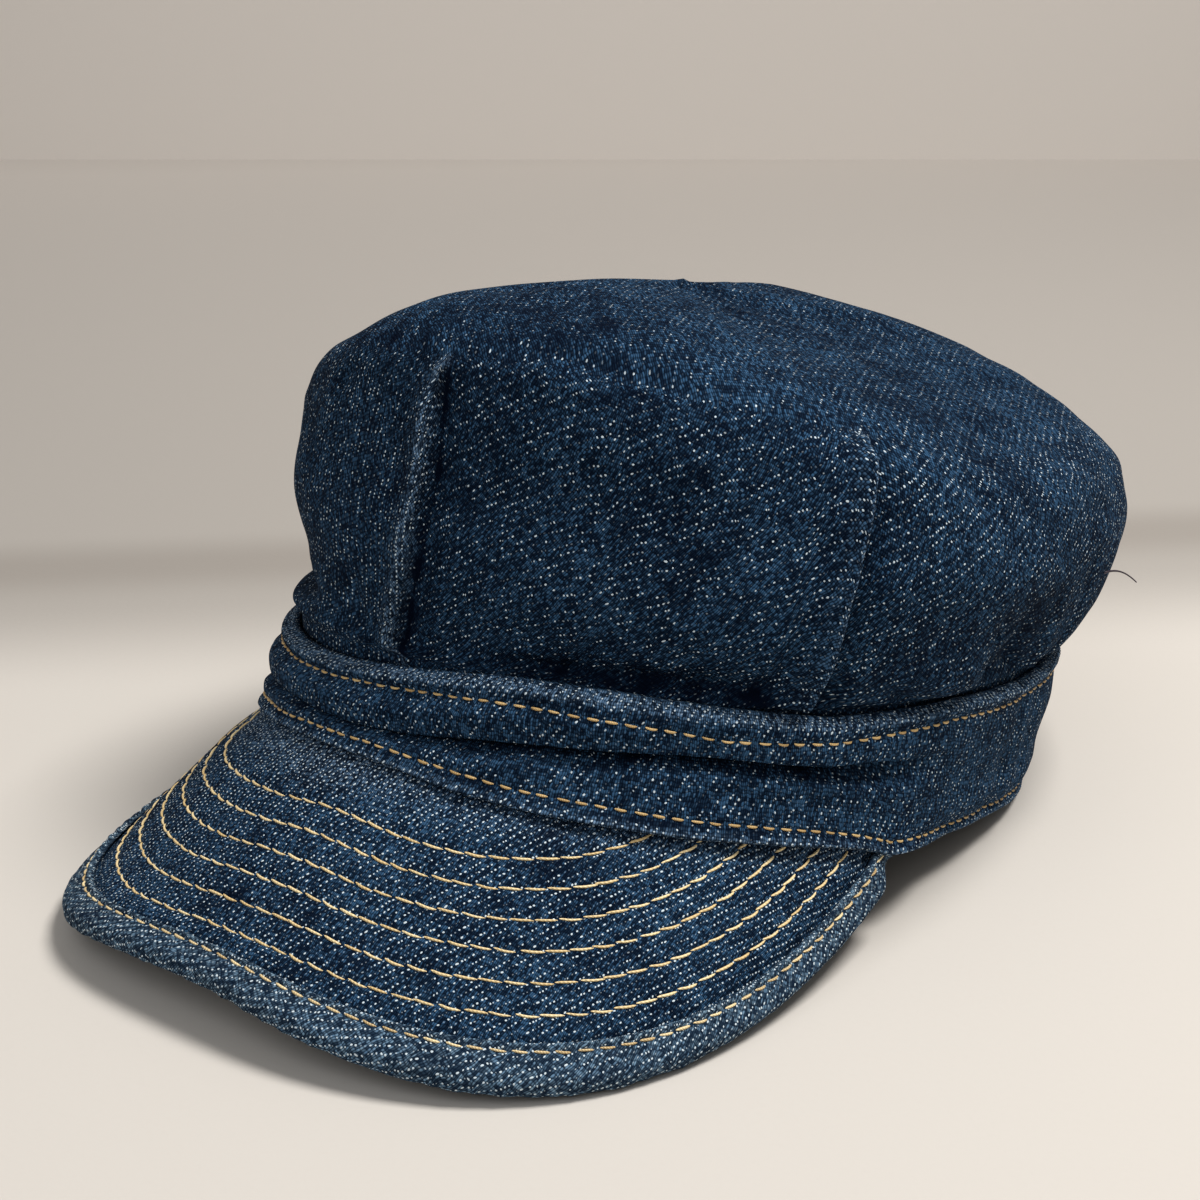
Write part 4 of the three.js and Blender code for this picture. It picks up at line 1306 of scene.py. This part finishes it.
def denim(piece, name, colours, flecks, gain=1.0, top=False):
    """Indigo twill: blue floats, pale flecks where the white yarn passes over, wear and painted
    shade.
    """
    paint = Paint(name)
    place = flat_place(paint, top)
    wander = paint.noise(place, 0.3, 1.0)
    x, y, _ = paint.split(place)
    across = x / WARP_PITCH + wander * 2.4
    along = y / WEFT_PITCH + wander * 1.7
    yarn = across.floor()
    off = across - yarn - 0.5
    step = along - yarn
    turn = step.math("FLOORED_MODULO", 4.0)
    cell = along.floor()
    dot_key = paint.node("ShaderNodeCombineXYZ", None, {0: yarn, 1: (step / 4.0).floor()})
    cell_key = paint.node("ShaderNodeCombineXYZ", None, {0: yarn, 1: cell})
    chance, stroke = pick(paint, dot_key, (0.5, 0.5, 0)), pick(paint, cell_key, (7.5, 3.5, 0))
    slip, size = pick(paint, dot_key, (3.5, 9.5, 0)), chance * 0.35 + 0.62
    away = (off / size / 0.56) ** 2.0 + ((turn - slip * 0.6 - 0.2) / size / 0.31) ** 2.0
    dot = 1.0 - away.soft(0.2, 1.0)
    rounded = 1.0 - (off * 2.0) ** 2.0
    along_cell = ((along - cell) * np.pi).math("SINE")
    warp = rounded * (along_cell * 0.75 + 0.25)
    height = warp.math("MAXIMUM", dot * 0.9)
    cloudy, patches = paint.noise(place, 0.035, 3.0), paint.noise(place, 0.16, 2.0)
    fine = paint.noise(place, 0.9, 1.0)
    # Fade varies at random; the fold mark paints shade in hollows and creases and wear on crests.
    fade = (cloudy - 0.5) * 2.2 + (patches - 0.5) * 1.8 + paint.mark("fold") * 0.085
    wear = paint.mark("wear").clip()
    stretched = paint.node("ShaderNodeMapping", None, {"Vector": place, "Scale": (1.9, 0.55, 1)})
    streak = ((paint.noise(stretched, 1.0, 2.0) - 0.5) * 3.0 + 0.8).clip() + 0.2
    shine = (stroke ** 2.4 * 1.75 + 0.14) * warp * streak * gain
    tone = (shine * (fade + 1.0)).clip()
    deep, blue, worn = colours
    cloth = paint.blend(tone, deep, blue)
    rubbed = (wear * warp * (fine * 2.6 - 0.65) * (stroke ** 2.0 * 1.3 + 0.05)).clip()
    cloth = paint.blend(rubbed, cloth, worn)
    bright = (chance + wear * 0.5 + (patches - 0.5) * 0.3).clip() ** 5.0
    thin = 1.0 - paint.mark("top") * 0.68
    showing = dot * (bright * 2.0 + wear * 0.1 + 0.05) * (fade + 1.0).clip() * thin * flecks
    colour = paint.blend(showing.clip(), cloth, FLECK)
    paint.finish(colour, 0.95, height, 0.00022, 0.6, 0.03, piece)


INDIGO = (
    (0.0010, 0.0032, 0.0105, 1),
    (0.0320, 0.0860, 0.1700, 1),
    (0.1900, 0.3000, 0.4500, 1),
)
INDIGO_RUBBED = (
    (0.0030, 0.0090, 0.0230, 1),
    (0.0750, 0.1550, 0.2650, 1),
    (0.2600, 0.3900, 0.4900, 1),
)
denim(crown, "crown_denim", INDIGO, 1.35, gain=0.9, top=True)
denim(band, "band_denim", INDIGO, 1.6, gain=1.3)
denim(peak, "peak_denim", INDIGO, 5.5, gain=1.0)
denim(binding, "binding_denim", INDIGO_RUBBED, 3.4, gain=0.65)

# %% Thread
GOLD = (0.64, 0.44, 0.18, 1)
GOLD_PALE = (0.98, 0.80, 0.46, 1)


def thread(piece, name, dark, pale):
    """Sewing thread: two plies that wind round each other, each stitch a little different."""
    paint = Paint(name)
    around, along, _ = paint.split(paint.cloth())
    ply = ((along * 1.6 + around * 2.0) * 2.0 * np.pi).math("SINE") * 0.5 + 0.5
    tone = (paint.mark("tone") * 0.7 + ply * 0.4).clip()
    colour = paint.blend(tone, dark, pale)
    paint.finish(colour, 0.42, ply, 0.0001, 0.5, 0.45, piece)


GOLD_WORN = (0.40, 0.25, 0.09, 1)
GOLD_FADED = (0.72, 0.50, 0.22, 1)
thread(band_stitching, "band_thread", GOLD_WORN, GOLD_FADED)
thread(binding_stitching, "binding_thread", GOLD_WORN, GOLD_PALE)
thread(peak_stitching, "peak_thread", GOLD, GOLD_PALE)
thread(loose_thread, "plum_thread", (0.012, 0.006, 0.014, 1), (0.035, 0.015, 0.04, 1))

# %% [markdown]
# ## Standing for the imported model
# Each dressed piece rides on the part's one body and takes the place of the plain solid of
# its name, which stays in the physics model.

# %% Riding and replacing
dressed = {
    "crown": (crown, "crown_denim"),
    "band": (band, "band_denim"),
    "peak": (peak, "peak_denim"),
    "peak_binding": (binding, "binding_denim"),
}
for node, (piece, finish) in dressed.items():
    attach(piece, "root")
    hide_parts(node)
for stitching in (band_stitching, peak_stitching, binding_stitching):
    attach(stitching, "root")
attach(loose_thread, "root")

# %% [markdown]
# ## Floor, wall and light
# The cap stands on a pale table before a pale wall. Both are stage, not part of the object.
# Their paint is bright near the cap and darker behind it in painted shade, with a soft painted
# shadow line where the table seems to meet the wall, and pales again farther off.
# A large soft lamp from the upper right gives the light, and the world fills the shadows.

# %% Stage
CAMERA_TURN = np.radians(34.436)
AWAY = np.array([-np.sin(CAMERA_TURN), np.cos(CAMERA_TURN)])
ASIDE = np.array([np.cos(CAMERA_TURN), np.sin(CAMERA_TURN)])
WALL_AWAY = 1.3
ROOM_WIDE = 3.0
ROOM_HIGH = 2.5


def room_point(distance, side, height):
    """A point of the room in metres: away from the camera, to its right, and up."""
    return (*(AWAY * distance + ASIDE * side), height)


def stage_sheet(name, corners):
    """A large plain pale sheet: bright near the cap, darker behind it in painted shade, then pale
    again.
    """
    mesh = bpy.data.meshes.new(name)
    mesh.from_pydata(corners, [], [(0, 1, 2, 3)])
    sheet = bpy.data.objects.new(name, mesh)
    bpy.context.scene.collection.objects.link(sheet)
    paint = Paint(name)
    place = paint.node("ShaderNodeTexCoord", None, output="Object")
    grain = paint.noise(place, 700.0, 3.0)
    x, y, _ = paint.split(place)
    distance = x * float(AWAY[0] - 0.12 * ASIDE[0]) + y * float(AWAY[1] - 0.12 * ASIDE[1])
    # Painted shade behind the cap that fades farther off, and a painted shadow line at the joint.
    behind = (distance.soft(0.10, 0.19) + (grain - 0.5) * 0.1).clip()
    rising = ((distance - 0.2) / 1.05).clip() ** 1.3
    far = paint.blend(rising, WALL_FOOT_SHADE_TONE, WALL_TONE)
    joint_shadow = 1.0 - (distance - 0.222).math("ABSOLUTE").soft(0.003, 0.04)
    far = paint.blend(joint_shadow, far, JOINT_SHADOW_TONE)
    paint.finish(paint.blend(behind, FLOOR_TONE, far), 0.9, grain, 0.0003, 0.1, 0.0, sheet)


FLOOR_TONE = (0.60, 0.57, 0.533, 1)
WALL_FOOT_SHADE_TONE = (0.395, 0.371, 0.345, 1)
JOINT_SHADOW_TONE = (0.33, 0.305, 0.28, 1)
WALL_TONE = (0.72, 0.68, 0.64, 1)
floor_corners = [(-2, -ROOM_WIDE, 0), (-2, ROOM_WIDE, 0), (3, ROOM_WIDE, 0), (3, -ROOM_WIDE, 0)]
wall_corners = [(side, height) for side, height in ((-1, 0), (1, 0), (1, 1), (-1, 1))]
stage_sheet("floor", [room_point(*corner) for corner in floor_corners])
wall_points = [room_point(WALL_AWAY, side * ROOM_WIDE, up * ROOM_HIGH) for side, up in wall_corners]
stage_sheet("wall", wall_points)

# %% Light and camera
def soft_lamp(name, place, aim, size, power, colour):
    """A square area lamp that points at a place."""
    data = bpy.data.lights.new(name, "AREA")
    data.size, data.energy, data.color = size, power, colour
    lamp = bpy.data.objects.new(name, data)
    lamp.location = place
    lamp.rotation_euler = (Vector(aim) - Vector(place)).to_track_quat("-Z", "Y").to_euler()
    bpy.context.scene.collection.objects.link(lamp)


soft_lamp("key", room_point(-0.08, 0.5, 1.2), (0, 0, 0.05), 0.45, 18.5, (1.0, 0.97, 0.93))
soft_lamp("fill", room_point(-1.0, -0.5, 1.0), (0, 0, 0.05), 1.2, 5, (0.95, 0.97, 1.0))
world = bpy.data.worlds.new("room")
world.use_nodes = True
world.node_tree.nodes["Background"].inputs[0].default_value = (1.0, 0.975, 0.94, 1)
world.node_tree.nodes["Background"].inputs[1].default_value = 0.29
bpy.context.scene.world = world
bpy.context.scene.view_settings.view_transform = "Standard"

TARGET = Vector((-0.0041007, -0.0171069, 0.0576166))
CAMERA_DISTANCE = 0.5067015
CAMERA_RISE = np.radians(17.912)
toward = Vector(
    (
        np.sin(CAMERA_TURN) * np.cos(CAMERA_RISE),
        -np.cos(CAMERA_TURN) * np.cos(CAMERA_RISE),
        np.sin(CAMERA_RISE),
    )
)
lens = bpy.data.cameras.new("camera")
lens.angle = np.radians(30)
lens.clip_start = 0.02
camera = bpy.data.objects.new("camera", lens)
camera.location = TARGET + toward * CAMERA_DISTANCE
camera.rotation_euler = (-toward).to_track_quat("-Z", "Y").to_euler()
bpy.context.scene.collection.objects.link(camera)
bpy.context.scene.camera = camera
